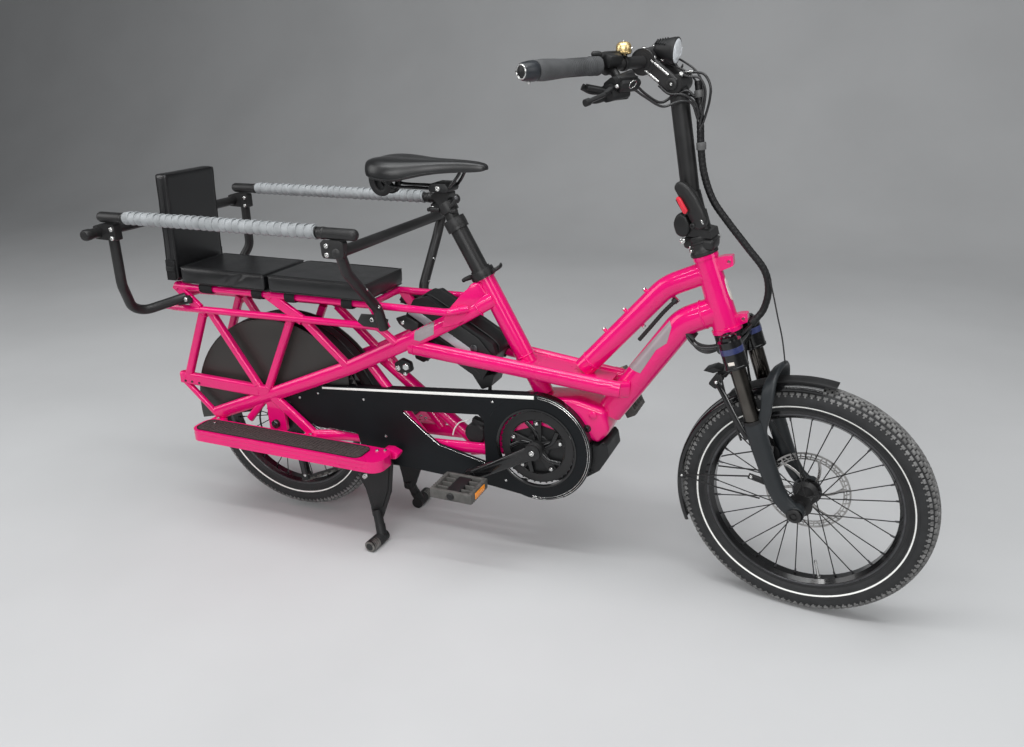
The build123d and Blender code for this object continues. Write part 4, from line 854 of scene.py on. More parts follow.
# display near the left grip
s.add(block(on_bar(96, 1, -14, 0), (40, 24, 12), 4, x=(on_bar(120, 1) - on_bar(60, 1)).normalized(), z=(-0.3, 0, 1)), 1)
s.add(block(on_bar(96, 1, -21, -2), (32, 18, 1.5), 0.6, x=(on_bar(120, 1) - on_bar(60, 1)).normalized(), z=(-0.3, 0, 1)), 2)
make("lever_trim", s, [STEEL, PLASTIC, GLOSS], "handlepost")

# hoses and cables from the levers and lamp to the harness
s = Shape()
runs = [
    ([on_bar(97, -1, 24, 28), V(932, -82, 1096), V(947, -60, 1072), V(972, -42, 1053), V(990, -24, 1062), V(1012, -12, 1072), V(1026, -8, 1062)], 2.6),
    ([on_bar(108, -1, 50, 22), V(930, -88, 1084), V(950, -66, 1066), V(978, -44, 1046), V(1004, -30, 1054), V(1024, -14, 1050), V(1036, -9, 1020)], 2.4),
    ([V(1016, 2, 1104), V(1040, 2, 1100), V(1054, 0, 1080), V(1054, 0, 1054), V(1047, -2, 1022), V(1040, -6, 1000)], 2.4),
    ([V(1012, -12, 1097), V(1034, -6, 1094), V(1046, -4, 1074), V(1046, -6, 1044), V(1040, -8, 1010)], 2.2),
    ([V(964, -30, 1082), V(985, -32, 1068), V(1010, -24, 1066), V(1030, -12, 1050), V(1038, -8, 1024)], 2.4),
    ([on_bar(97, 1, 24, 28), V(940, 78, 1092), V(958, 52, 1066), V(984, 34, 1052), V(1012, 18, 1060), V(1030, 2, 1048), V(1037, -6, 1015)], 2.6),
    ([on_bar(80, 1, -8, 4), V(950, 40, 1134), V(990, 22, 1122), V(1024, 12, 1102), V(1040, 2, 1072), V(1040, -4, 1030)], 2.0),
    ([V(960, 4, 1122), V(985, 8, 1112), V(1012, 10, 1098), V(1034, 4, 1070), V(1038, -4, 1036)], 1.8),
]
for pts, r in runs:
    s.add(tube(smooth(pts, 5), r, sides=10), 0)
s.add(lathe([(4, 0), (4, 10), (3, 12)], on_bar(97, -1, 24, 28), V(0.2, 1, -0.5), 12), 1)
make("bar_cables", s, [CABLE, STEEL], "handlepost")

# harness: one sleeve in two pieces
ROUTE = [(1028, -6, 1088), (1034, -8, 1050), (1038, -8, 1004), (1042, -8, 962), (1051, -8, 916), (1071, -8, 868), (1103, -6, 826),
         (1144, -4, 778), (1179, -3, 736), (1190, -2, 696), (1184, -2, 656), (1167, -7, 630)]
line = smooth(ROUTE, 2.2)
cut = min(range(len(line)), key=lambda i: (line[i] - V(1174, -3, 742)).length)


def sleeve(points, first):
    r = []
    for i in range(len(points)):
        k = i + first
        r.append(6.9 + (0.32 if (k // 2) % 2 else 0.0))
    return tube(points, r, sides=20)


s = Shape().add(sleeve(line[:cut + 1], 0), 0)
for p, q, ln in ((line[8], line[9], 14), (V(1041, -8, 977), V(1042.5, -8, 962), 15)):
    d = (Vector(q) - Vector(p)).normalized()
    s.add(lathe([(6.6, 0), (9.0, 0.6), (9.4, 2), (9.4, ln - 2), (9.0, ln - 0.6), (6.6, ln)], p, d, 28, closed=True), 1)
upper = make("harness_upper", s, [BRAID, GREYPL], None, turned=False, sharp=60)
s = Shape().add(sleeve(line[cut:], cut), 0)
end = (line[-1] - line[-4]).normalized()
s.add(lathe([(6.6, -8), (8.4, -7), (8.4, 3), (7.4, 5), (6.6, 5)], line[-1], end, 28, closed=True), 1)
lower = make("harness_lower", s, [BRAID, PLASTIC], None, turned=False, sharp=60)
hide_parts("cable_harness")
w = LEVEL @ MM
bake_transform(upper)
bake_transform(lower)
s = Shape().add(tube(smooth([V(1196, -10, 726), V(1206, -8, 690), V(1216, -5, 650), V(1228, -2, 605), V(1238, 0, 552)], 6), 1.5, sides=8), 0)
make("lamp_lead", s, [CABLE], "steering", turned=True)

# ------------------------------------------------------------ drive
BB = V(716, 0, 295)
s = Shape()
s.add(lathe([(86, -1.6), (88.4, -1.6), (88.4, 1.6), (86, 1.6)], BB + SIDE * -50, SIDE, 76, closed=True), 0)
for i in range(38):
    a = 2 * pi * i / 38
    d, t = V(cos(a), 0, sin(a)), V(-sin(a), 0, cos(a))
    s.add(prism([BB + SIDE * -51.2 + d * 87 - t * 3.6, BB + SIDE * -51.2 + d * 87 + t * 3.6, BB + SIDE * -51.2 + d * 91.2 + t * 1.2, BB + SIDE * -51.2 + d * 91.2 - t * 1.2], SIDE * 2.4, 0), 0)
s.add(ring(BB + SIDE * -52.2, SIDE, 67, 1.4, 60, 8), 1)
for i in range(5):
    a = math.radians(90 + 72 * i)
    d = V(cos(a), 0, sin(a))
    s.add(lathe([(7, -2), (7, 1.5), (5.8, 2.5), (0.1, 2.5)], BB + SIDE * -53 + d * 60, -SIDE, 24), 1)
    s.add(bolt(BB + SIDE * -55 + d * 60, -SIDE, 4.6, 3.0), 2)
    e = V(cos(a + 0.42), 0, sin(a + 0.42))
    s.add(tube(smooth([BB + SIDE * -52 + d * 20, BB + SIDE * -53 + d.lerp(e, 0.35) * 42, BB + SIDE * -52 + e * 66], 6), 5.5, 3.0, 12, side=d.cross(SIDE)), 1)
make("chainring_teeth", s, [DARK_STEEL, GLOSS, STEEL], "crank")
s = Shape()
for k, side in ((0, -1), (1, 1)):
    s.add(lathe([(13, 0), (13, 2.0), (11.5, 3), (9.2, 3), (9.2, 1), (0.1, 1)], BB + SIDE * side * 84.5, SIDE * side, 36), 0)
    s.add(bolt(BB + SIDE * side * 86.5, SIDE * side, 7.0, 4), 1)
    a = math.radians(208.2 + 180 * k)
    d = V(cos(a), 0, sin(a))
    t = V(-sin(a), 0, cos(a))
    y0, y1 = side * 84, side * 99
    arm = smooth([BB + SIDE * side * 78 + d * 6, BB + SIDE * side * 82 + d * 40, BB + SIDE * side * 88 + d * 100, BB + SIDE * side * 92 + d * 150, BB + SIDE * side * 93 + d * 172], 7)
    s.add(tube(arm, 8.0, [17.5 - 3.5 * min(1, i / 18) for i in range(len(arm))], 26, side=SIDE, squash=0.75), 2)
    for q in range(3):
        s.add(ring(BB + SIDE * side * (70 + 5 * q), SIDE, 19.2, 1.3, 36, 8), 0)
    s.add(lathe([(15.4, -8), (16.2, -6), (16.2, 6), (15.4, 8)], BB + d * 172.5 + SIDE * side * 93, SIDE, 34, closed=True), 0)
    s.add(lathe([(6, 0), (6, 3), (4, 3.4), (4, 1.2), (0.1, 1.2)], BB + d * 172.5 + SIDE * side * (86 if side < 0 else 86), -SIDE * side, 22), 1)
make("crank_trim", s, [SATIN, STEEL, GLOSS], "crank")

# chain guard dressing
s = Shape()
top = [(130, 371), (716, 428)]


def edge(x):
    return 371 + (x - 130) * 57 / 586


s.add(prism([(142, -60.2, edge(142) - 3), (712, -60.2, edge(712) - 3), (712, -60.2, edge(712) - 11.5), (142, -60.2, edge(142) - 8)], (0, -0.8, 0), 0.25), 0)
make("guard_stripe", s, [STRIPE], "frame")
s = Shape()
for r in (128.6, 124.2):
    pts = [BB + SIDE * -60.4 + V(r * cos(a), 0, r * sin(a)) for a in [math.radians(88 - 3.2 * k) for k in range(58)]]
    s.add(tube(pts, 0.62, sides=6), 0)
for a, b in (((372, 334), (424, 292)), ((424, 292), (466, 262)), ((466, 262), (586, 236)), ((150, 258), (232, 256)), ((60, 268), (110, 258))):
    s.add(tube([V(a[0], -60.4, a[1]), V(b[0], -60.4, b[1])], 0.55, sides=6), 0)
make("guard_lines", s, [STEEL], "frame")
s = Shape()
for x, z in [(262, 352), (70, 330), (248, 205), (560, 200), (610, 396), (640, 200), (318, 262), (128, 350)]:
    s.add(bolt(V(x, -60, z), -SIDE, 3.4, 2.2), 0)
make("guard_screws", s, [STEEL], "frame")
s = Shape()
prof = [(92, -3.2), (93.5, -4.6), (127, -4.6), (131, -3), (132, 0), (132, 16), (130.5, 16), (130.5, 0), (92, 0)]
s.add(lathe([(r, -h) for r, h in [(92, -1.2), (94, -2.6), (98, -2.0), (98, 0.4), (92, 0.4)]], BB + SIDE * -60, (0, -1, 0), 90, closed=True), 0)
rim = [(129.6, -2.2), (132.4, -1.2), (132.6, 18), (131.0, 18), (130.4, 0.4), (129.4, 0.2)]
s.add(lathe([(r, h) for r, h in rim], BB + SIDE * -58, (0, 1, 0), 60, closed=True, start=math.radians(-60), sweep=math.radians(210), ref=(0, 0, 1)), 0)
make("guard_ring_rim", s, [GLOSS], "frame")

# chain: the links of its lower run
s = Shape()


def links(points, y, count):
    """Chain along points: two plates and rollers for each link."""
    p = [Vector(q) for q in points]
    length = [0.0]
    for a, b in zip(p, p[1:]):
        length.append(length[-1] + (b - a).length)
    total = length[-1]

    def at(d):
        for i in range(len(p) - 1):
            if d <= length[i + 1] or i == len(p) - 2:
                t = (d - length[i]) / max(1e-6, length[i + 1] - length[i])
                return p[i].lerp(p[i + 1], t)
    for k in range(count):
        a, b = at(total * k / count), at(total * (k + 1) / count)
        wide = 3.4 if k % 2 else 2.3
        for sy in (-1, 1):
            s.add(tube([a + SIDE * sy * wide, a.lerp(b, 0.5) + SIDE * sy * wide, b + SIDE * sy * wide], [3.7, 2.7, 3.7], 0.5, 8, side=(b - a).cross(SIDE)), 0)
        s.add(tube([a - SIDE * 3.9, a + SIDE * 3.9], 2.1, sides=8), 0)


low = smooth([V(60, -50.5, 90), V(150, -50.5, 134), V(250, -50.5, 180.5), V(420, -50.5, 188), V(690, -50.5, 200)], 12)
links([q - V(0, 0, 0) for q in low], -50.5, 52)
make("chain_links", s, [CHAIN], "frame")

# derailleur dressing: jockey teeth, cage edges, cable loop
s = Shape()
for c in (V(44, -50, 174), V(56, -50, 104)):
    for k in range(11):
        a = 2 * pi * k / 11
        d = V(cos(a), 0, sin(a))
        s.add(prism([c + SIDE * -1 + d * 14 + V(-sin(a), 0, cos(a)) * 2.6, c + SIDE * -1 + d * 14 - V(-sin(a), 0, cos(a)) * 2.6, c + SIDE * -1 + d * 18.5], SIDE * 2, 0), 0)
    s.add(bolt(c + SIDE * -7.5, -SIDE, 4.5, 2.5), 1)
    s.add(ring(c + SIDE * -3.4, SIDE, 8, 1, 24, 6), 1)
s.add(bolt(V(16, -64, 198), -SIDE, 8, 5), 1)
s.add(slab([(20, 206), (34, 202), (58, 176), (50, 166), (32, 172), (16, 192)], -66, -58, 3), 0)
s.add(slab([(37, 176), (51, 172), (60, 108), (52, 104)], -58.4, -57, 0.5), 2)
s.add(tube(smooth([V(28, -64, 200), V(-6, -74, 188), V(-42, -76, 210), V(-56, -72, 262), V(-36, -66, 306), V(6, -60, 322), V(40, -58, 310)], 6), 2.4, sides=10), 2)
make("derailleur_trim", s, [PLASTIC, STEEL, CABLE], "frame")
# sprocket teeth
s = Shape()
for r, y, nt in ((36, -52, 15), (44, -46, 18), (52, -40, 21), (60, -34, 24)):
    s.add(lathe([(r - 6, -0.9), (r + 1, -0.9), (r + 1, 0.9), (r - 6, 0.9)], V(0, y, 254), SIDE, nt * 3, closed=True), 0)
    for k in range(nt):
        a = 2 * pi * k / nt
        d, t = V(cos(a), 0, sin(a)), V(-sin(a), 0, cos(a))
        c = V(0, y - 0.8, 254)
        s.add(prism([c + d * r - t * 2.8, c + d * r + t * 2.8, c + d * (r + 4.2) + t * 0.8, c + d * (r + 4.2) - t * 0.8], SIDE * 1.6, 0), 0)
make("sprockets", s, [DARK_STEEL], "rear_wheel")

# motor and battery dressing
s = Shape()
s.add(bolt(V(833, -43.5, 357), -SIDE, 6, 4), 0)
s.add(ring(V(833, -43.5, 357), SIDE, 8, 1.2, 30, 8), 0)
for x, z in [(668, 236), (846, 252), (700, 330), (872, 326)]:
    for side in (-1, 1):
        s.add(bolt(V(x, side * 45, z), SIDE * side, 4.5, 3), 1)
for side in (-1, 1):
    s.add(lathe([(24, 0), (30, 0.4), (31, 2), (29, 4.5), (16, 5), (16, 0)], BB + SIDE * side * 45, SIDE * side, 48, closed=True), 1)
    for k in range(6):
        s.add(block(V(800 + 10 * k, side * 45.6, 262 + 6 * k), (4, 1.6, 44), 0.5, x=(1, 0, 0), z=(0.25, 0, 1)), 1)
make("motor_trim", s, [SATIN, PLASTIC], "frame")

a30 = math.radians(-30)


def pack(u, v, y=0.0):
    return V(503 + u * cos(a30) - v * sin(a30), y, 534 + u * sin(a30) + v * cos(a30))


s = Shape()
for side in (-1, 1):
    out = [pack(-100, 22, side * 44), pack(-60, 40, side * 44), pack(60, 40, side * 44), pack(106, 24, side * 44), pack(112, -4, side * 44), pack(-112, -4, side * 44)]
    s.add(prism(out, V(0, side * 3.6, 0), 1.6), 0)
    # light grey strip on each side of the battery; its pale colour is a painted reflection of the sky
    s.add(prism([pack(-118, -12, side * 46.6), pack(-112, 8, side * 46.6), pack(108, 8, side * 46.6), pack(114, -12, side * 46.6)], V(0, side * 2.6, 0), 1.0), 1)
    s.add(tube([pack(-110, -20, side * 44), pack(110, -20, side * 44)], 0.9, sides=6), 0)
    s.add(tube([pack(-100, -34, side * 44), pack(100, -34, side * 44)], 0.9, sides=6), 0)
top_arc = smooth([pack(-112, 34), pack(-96, 48.6), pack(0, 50.6), pack(90, 49), pack(110, 33)], 8)
s.add(tube(top_arc, 26, 2.6, 22, side=SIDE, squash=0.6), 0)
s.add(lathe([(9, 0), (9, 2), (7, 3), (2.5, 3), (2.5, 1.6), (0.1, 1.6)], pack(60, 14, -48.4), -SIDE, 28), 2)
s.add(tube(smooth([pack(112, -44, -20), pack(132, -60, -22), pack(150, -84, -20), V(676, -18, 396)], 6), 4.4, sides=12), 0)
# the strip's pale grey base colour is a painted sky reflection
make("battery_trim", s, [PLASTIC, finish("battery_strip_painted_reflection", (0.33, 0.33, 0.35), 0.28, spread=0.12, scale=25, coat=0.3), DARK_STEEL], "frame")
# black joint and hardware by the rear of the battery
s = Shape()
for side in (-1, 1):
    s.add(slab([(352, 456), (372, 470), (396, 462), (400, 442), (378, 428), (356, 436)], *sorted((side * 40, side * 56)), 4), 0)
    s.add(bolt(V(364, side * 56, 446), SIDE * side, 7, 4), 1)
    s.add(nut(V(386, side * 56, 452), SIDE * side, 9, 5), 1)
    s.add(bolt(V(382, side * 56, 433), SIDE * side, 5, 3), 1)
    s.add(slab([(380, 560), (372, 574), (398, 584), (432, 568), (428, 550), (398, 548)], *sorted((side * 62, side * 68)), 3), 0)
    s.add(bolt(V(392, side * 68, 566), SIDE * side, 5, 3.4), 1)
make("battery_mounts", s, [DULL, STEEL], "frame")

# ------------------------------------------------------------ pedals
for k, (side, nm) in enumerate(((-1, "right"), (1, "left"))):
    a = math.radians(208.2 + 180 * k)
    e = BB + V(cos(a), 0, sin(a)) * 172.5
    tilt = Matrix.Identity(3) if side < 0 else Matrix.Rotation(math.radians(62), 3, "Y")
    s = Shape()

    def put(part, mat):
        vs, fs = part
        s.add(([e + tilt @ (Vector(p) - e) for p in vs], fs), mat)
    ym = side * 157
    for x in (-47.5, 47.5):
        put(block(e + V(x, ym, 0), (9.5, 90, 24), 2.2), 0)
    for yy in (side * 116.5, side * 197.5):
        put(block(e + V(0, yy, 0), (96, 9.5, 24), 2.2), 0)
    put(block(e + V(0, ym, 0), (34, 78, 19), 4), 1)
    put(tube([e + V(0, side * 100, 0), e + V(0, side * 114, 0)], [7, 7], sides=24), 1)
    put(tube([e + V(0, side * 87, 0), e + V(0, side * 101, 0)], [6.8, 6.8], sides=24), 3)
    for x in (-30, 30):
        for yy in (136, 157, 178):
            put(block(e + V(x, side * yy, 0), (27, 3.6, 20), 1.0), 0)
    for x in (-52.2, 52.2):
        put(block(e + V(x, ym, 0), (3.4, 50, 15), 1.0), 2)
        for q in range(9):
            put(block(e + V(x + math.copysign(1.6, x), side * (135 + 5.5 * q), 0), (1.0, 2.6, 12), 0.3), 2)
    for x in (-47.5, 47.5):
        for q in range(9):
            for z in (-12, 12):
                put(block(e + V(x, side * (121 + 9 * q), z), (8, 3.6, 2.4), 0.4), 0)
    put(lathe([(9, 0), (9, 3), (7, 5), (0.1, 5)], e + V(0, side * 201, 0), SIDE * side, 28), 1)
    make(f"pedal_{nm}_caged", s, [RESIN, PLASTIC, ORANGE, DARK_STEEL], f"pedal_{nm}", stands_for=(f"pedal_{nm}",))

# ------------------------------------------------------------ running boards
s = Shape()
for side in (-1, 1):
    y0, y1 = 104, 167
    pts = []
    for cx, cy, a0 in ((304 - 18, y1 - 18, 0), (-194 + 18, y1 - 18, 90), (-194 + 18, y0 + 18, 180), (304 - 18, y0 + 18, 270)):
        for q in range(7):
            a = math.radians(a0 + 15 * q)
            pts.append((cx + 18 * cos(a), side * (cy + 18 * sin(a)), 241))
    s.add(prism(pts, V(0, 0, 6.6), 0.8), 0)
    for k in range(47):
        x = -178 + 10 * k
        s.add(block(V(x, side * 135.5, 247.8), (3.4, 50, 1.6), 0.5, x=(1, side * 0.12, 0)), 0)
    s.add(tube([q + V(0, 0, 6.8) for q in [Vector(p) for p in pts]], 1.1, sides=8, closed=True), 1)
make("board_grips", s, [GRIT, PLASTIC], "frame")
s = Shape()
for side in (-1, 1):
    for x, y, z, d in [(322, 112, 246, V(0, 0, 1)), (-165, 122, 248, V(0, 0, 1)), (352, 134, 232, V(1, 0, 0.2)), (-186, 84, 243, V(0, 0, 1)), (108, 84, 243, V(0, 0, 1)), (340, 104, 246, V(0, 0, 1))]:
        s.add(bolt(V(x, side * y, z), d, 4.6, 3.2), 0)
    s.add(bolt(V(268, side * 88, 158), SIDE * side, 6.5, 4.5), 0)
    s.add(lathe([(12, 0), (12, 2), (10, 3), (6, 3)], V(262, side * 84, 152), SIDE * side, 30), 1)
    s.add(bolt(V(262, side * 86, 152), SIDE * side, 6, 4), 0)
make("board_bolts", s, [STEEL, DULL], "frame")
s = Shape()
for side in (-1, 1):
    out = [(-198, side * 96, 217), (352, side * 96, 217), (352, side * 172, 217), (-198, side * 172, 217)]
    s.add(tube([V(-168, side * 174.6, 226), V(335, side * 174.6, 226)], 1.2, sides=8), 0)
    s.add(tube([V(-168, side * 174.6, 238), V(335, side * 174.6, 238)], 1.2, sides=8), 0)
    s.add(slab([(338, 220), (366, 224), (372, 238), (350, 247), (330, 246)], *sorted((side * 72, side * 100)), 3), 0)
make("board_edges", s, [PINK], "frame")

# ------------------------------------------------------------ stand feet, springs
s = Shape()
for side in (-1, 1):
    a, b = V(308, side * 100, -5), V(304, side * 154, -5)
    s.add(tube([a, a.lerp(b, 0.1), a.lerp(b, 0.5)], [14.4, 15.0, 15.0], sides=30), 0)
    s.add(tube([a.lerp(b, 0.48), a.lerp(b, 0.9), b], [15.0, 15.0, 13.8], sides=30), 3)
    s.add(tube([a.lerp(b, 0.98), a.lerp(b, 1.004)], 9.5, sides=24), 0)
    for k in range(7):
        s.add(ring(a.lerp(b, 0.14 + 0.115 * k), (b - a), 14.6, 0.7, 30, 6), 0)
    s.add(bolt(V(296, side * 88, 50), SIDE * side, 5, 3), 1)
    s.add(tube([V(300, side * 92, 26), V(308, side * 100, 2)], 13, sides=24), 2)
    s.add(slab([(268, 176), (338, 204), (328, 126), (308, 72), (286, 70), (276, 116), (260, 146)], *sorted((side * 86, side * 88.2)), 1.5), 2)
make("stand_feet", s, [RUBBER, STEEL, DULL, FOOT], "stand")
s = Shape()
coil = []
for k in range(150):
    t = k / 149
    a = t * 2 * pi * 14
    coil.append(V(276 + 40 * t, 50, 170 + 34 * t) + V(-0.65, 0, 0.76) * 5 * cos(a) + SIDE * 5 * sin(a))
s.add(tube(coil, 1.1, sides=6), 0)
make("stand_spring", s, [DARK_STEEL], "frame")

# ------------------------------------------------------------ seat post collars, hoops
s = Shape()
d = (V(564.4, 0, 683) - V(503, 0, 792)).normalized()
c = V(566.5, 0, 679.5)
s.add(lathe([(24, -8), (28.5, -7.4), (28.9, -5), (28.9, 5), (28.5, 7.4), (24, 8)], c, d, 48, closed=True), 0)
s.add(tube([c + V(-24, -10, -8), c + V(-38, -12, -14), c + V(-44, -10, -18)], [6, 5, 4.5], sides=14), 0)
s.add(tube(smooth([c + V(24, -6, 8), c + V(38, -10, 15), c + V(44, 2, 20), c + V(36, 22, 18)], 4), 4.6, 3.4, 12, side=V(0, 0, 1)), 0)
s.add(bolt(c + V(43, -7, 19), V(0.8, 0, 0.5), 4, 3), 0)
c2 = V(505.5, 0, 788)
s.add(lathe([(20, -10), (24.6, -9), (25.2, -6), (25.2, 6), (24.6, 9), (20, 10)], c2, d, 44, closed=True), 0)
c3 = V(487, 0, 824)
s.add(lathe([(16, -13), (20.6, -12), (21.2, -9), (21.2, 9), (20.6, 12), (16, 13)], c3, d, 44, closed=True), 0)
s.add(tube([c3 + V(14, -14, 4), c3 + V(24, -18, 12), c3 + V(30, -16, 24)], [5, 5, 4], sides=14), 0)
s.add(tube([c3 + V(14, -16, -6), c3 + V(30, -18, -4)], [5, 5.6], sides=14), 0)
s.add(tube([c3 + V(-14, -14, -4), c3 + V(-38, -16, -4)], [5, 5.6], sides=14), 0)
s.add(bolt(c3 + V(30, -18, 24), V(0.4, -0.8, 0.2), 4.4, 3), 1)
s.add(bolt(c3 + V(-38, -20, -4), V(-0.3, -0.9, 0), 4.4, 3), 0)
make("seat_post_collars", s, [SATIN, DARK_STEEL], "frame")

s = Shape()
for side in (-1, 1):
    for pts in (((-265, 775), (-266, 754)), ((328, 777), (328, 758))):
        for x, z in pts:
            s.add(bolt(V(x, side * 247, z), SIDE * side, 5.6, 4.6), 0)
            s.add(bolt(V(x, side * 226, z), -SIDE * side, 5.0, 4), 0)
    s.add(bolt(V(-222, side * 94, 571), SIDE * side, 6, 4.6), 0)
    s.add(bolt(V(328, side * 96, 574), SIDE * side, 6, 4.6), 0)
    p = V(350, side * 176, 676)
    s.add(bolt(V(358, side * 158, 663), V(0.2, side * 0.75, 0.5), 4.2, 3.6), 0)
    s.add(bolt(V(362, side * 119, 614), V(0.2, side * 0.75, 0.5), 4.2, 3.6), 0)
make("hoop_bolts", s, [STEEL], "frame")
s = Shape()
for side in (-1, 1):
    s.add(dome([V(350, side * 222, 762), V(350, side * 235, 762), V(350, side * 251, 762)], 14.2, 26), 0)
    s.add(lathe([(12.1, 0), (13.2, 0.8), (13.2, 14), (11, 18), (5, 19), (0.1, 19)], V(-307, side * 272, 766), SIDE * side, 30), 0)
    s.add(slab([(288, 566), (300, 586), (342, 588), (366, 572), (352, 556), (304, 556)], *sorted((side * 96, side * 99)), 1.2), 0)
for side in (-1, 1):
    s.add(slab([(314, 756), (318, 750), (364, 750), (368, 758), (368, 784), (362, 789), (320, 789), (312, 782)], *sorted((side * 243.5, side * 247.6)), 1.2), 0)
make("hoop_caps", s, [SATIN], "frame")

# taped grab rails
s = Shape()
for side in (-1, 1):
    y = side * 236.5
    s.add(dome([V(-309, y, 801), V(-296, y, 801), V(-236, y, 801), V(-222, y, 801)], 12.5, 30), 0)
    s.add(dome([V(296, y, 801), V(310, y, 801), V(386, y, 801), V(399, y, 801)], 12.5, 30), 0)
    s.add(tube([V(-226, y, 801), V(302, y, 801)], 12.4, sides=26), 0)
    for x in (-236, 312):
        s.add(lathe([(12.4, 0), (13.1, 0.6), (13.1, 7.4), (12.4, 8)], V(x, y, 801), V(1, 0, 0), 30, closed=True), 0)
    # tape: overlapping wraps, each a shallow cone leaning with the helix
    x = -224.0
    k = 0
    while x < 300 - 3:
        pitch = 18.6 + random.uniform(-1.4, 1.4)
        x1 = min(300.0, x + pitch + 1.2)
        tiltv = V(1, 0, 0.17 * 1 + random.uniform(-0.02, 0.02)).normalized() if k % 1 == 0 else V(1, 0, 0)
        j = random.uniform(-0.12, 0.12)
        prof = [(12.2, -0.6), (14.3 + j, -0.4), (14.6 + j, 0.8), (14.8 + j, (x1 - x) * 0.75), (14.95 + j, (x1 - x) - 1.0), (14.5 + j, x1 - x), (12.2, x1 - x)]
        s.add(lathe(prof, V(x, y, 801), tiltv, 34, closed=True), 1)
        # dark ring at the wrap's edge: painted shade in the crease between wraps
        s.add(ring(V(x + 0.4, y, 801), tiltv, 14.35 + j, 0.36, 34, 6), 2)
        x += pitch
        k += 1
make("grab_rails_taped", s, [SATIN, TAPE, TAPE_SEAM_SHADE], "frame", stands_for=("grab_rails",), sharp=50)

# ------------------------------------------------------------ saddle
STATIONS = [(302, 22, 919, 907), (305, 40, 923, 901), (313, 58, 928, 895), (328, 72, 931.5, 890), (350, 80, 933, 886), (376, 81.5, 932, 883.5), (400, 75, 930.5, 884.5), (422, 62, 929, 890),
            (446, 47.5, 928, 895), (474, 35, 927.6, 899), (506, 26.5, 927.4, 901.5), (540, 21, 926.4, 903), (566, 17.6, 924, 904), (580, 13.5, 920.6, 906), (586.5, 7, 916, 909)]
s = Shape()
verts, faces = [], []
half = [(0.0, -1.0), (0.18, -0.4), (0.40, 0.0), (0.62, -0.02), (0.80, -0.09), (0.92, -0.25), (0.99, -0.52), (1.0, -0.8), (0.965, -0.98), (0.90, -0.99), (0.84, -0.8), (0.5, -0.62), (0.0, -0.6)]
for x, w, zt, ze in STATIONS:
    h = zt - ze
    ringp = []
    for q, (a, b) in enumerate(half):
        z = zt + (b * 1.6 if q == 0 else (b * 1.5 if q == 1 else b * h))
        ringp.append((x, a * w, z))
    left = [(px, -py, pz) for px, py, pz in ringp[1:-1]][::-1]
    verts += [V(*p) for p in ringp + left]
m = len(half) * 2 - 2
for i in range(len(STATIONS) - 1):
    for k in range(m):
        faces.append((i * m + k, i * m + (k + 1) % m, (i + 1) * m + (k + 1) % m, (i + 1) * m + k))
faces.append(tuple(range(m)))
faces.append(tuple((len(STATIONS) - 1) * m + k for k in range(m)))
s.add((verts, faces), 0)
make("saddle_shell", s, [SADDLE_SKIN], "frame", stands_for=("saddle",), sharp=80, level=2)
s = Shape()
for side in (-1, 1):
    s.add(tube(smooth([V(330, side * 30, 896), V(338, side * 27, 884), V(358, side * 24, 869), V(420, side * 22, 867.5), V(490, side * 22, 868), V(510, side * 18, 880), V(526, side * 13, 902)], 5), 3.5, sides=14), 0)
    # seam along the flank
    s.add(tube(smooth([V(306, side * 40, 905), V(326, side * 70, 897), V(352, side * 80.4, 892.5), (378, side * 81.6, 890), (402, side * 74.6, 891), (424, side * 60.6, 896), (448, side * 46.6, 900.5), (476, side * 34.4, 904)], 5), 0.9, sides=8), 1)
s.add(slab([(456, 859), (500, 859), (504, 868), (496, 879), (460, 879), (452, 868)], -28, 28, 3), 1)
for side in (-1, 1):
    s.add(bolt(V(478, side * 28, 868), SIDE * side, 6, 4), 2)
    s.add(tube(smooth([V(314, side * 24, 900), V(310, side * 24, 880), V(316, side * 22, 860), V(330, side * 20, 852), V(346, side * 22, 858), V(352, side * 24, 880)], 4), 4.8, 8, 14, side=SIDE), 1)
s.add(slab([(312, 856), (318, 894), (326, 896), (330, 870), (350, 860), (344, 851), (322, 850)], -21, 21, 3), 1)
s.add(slab([(474, 838), (494, 838), (498, 862), (470, 862)], -13, 13, 3), 1)
make("saddle_underside", s, [GLOSS, PLASTIC, STEEL], "frame")


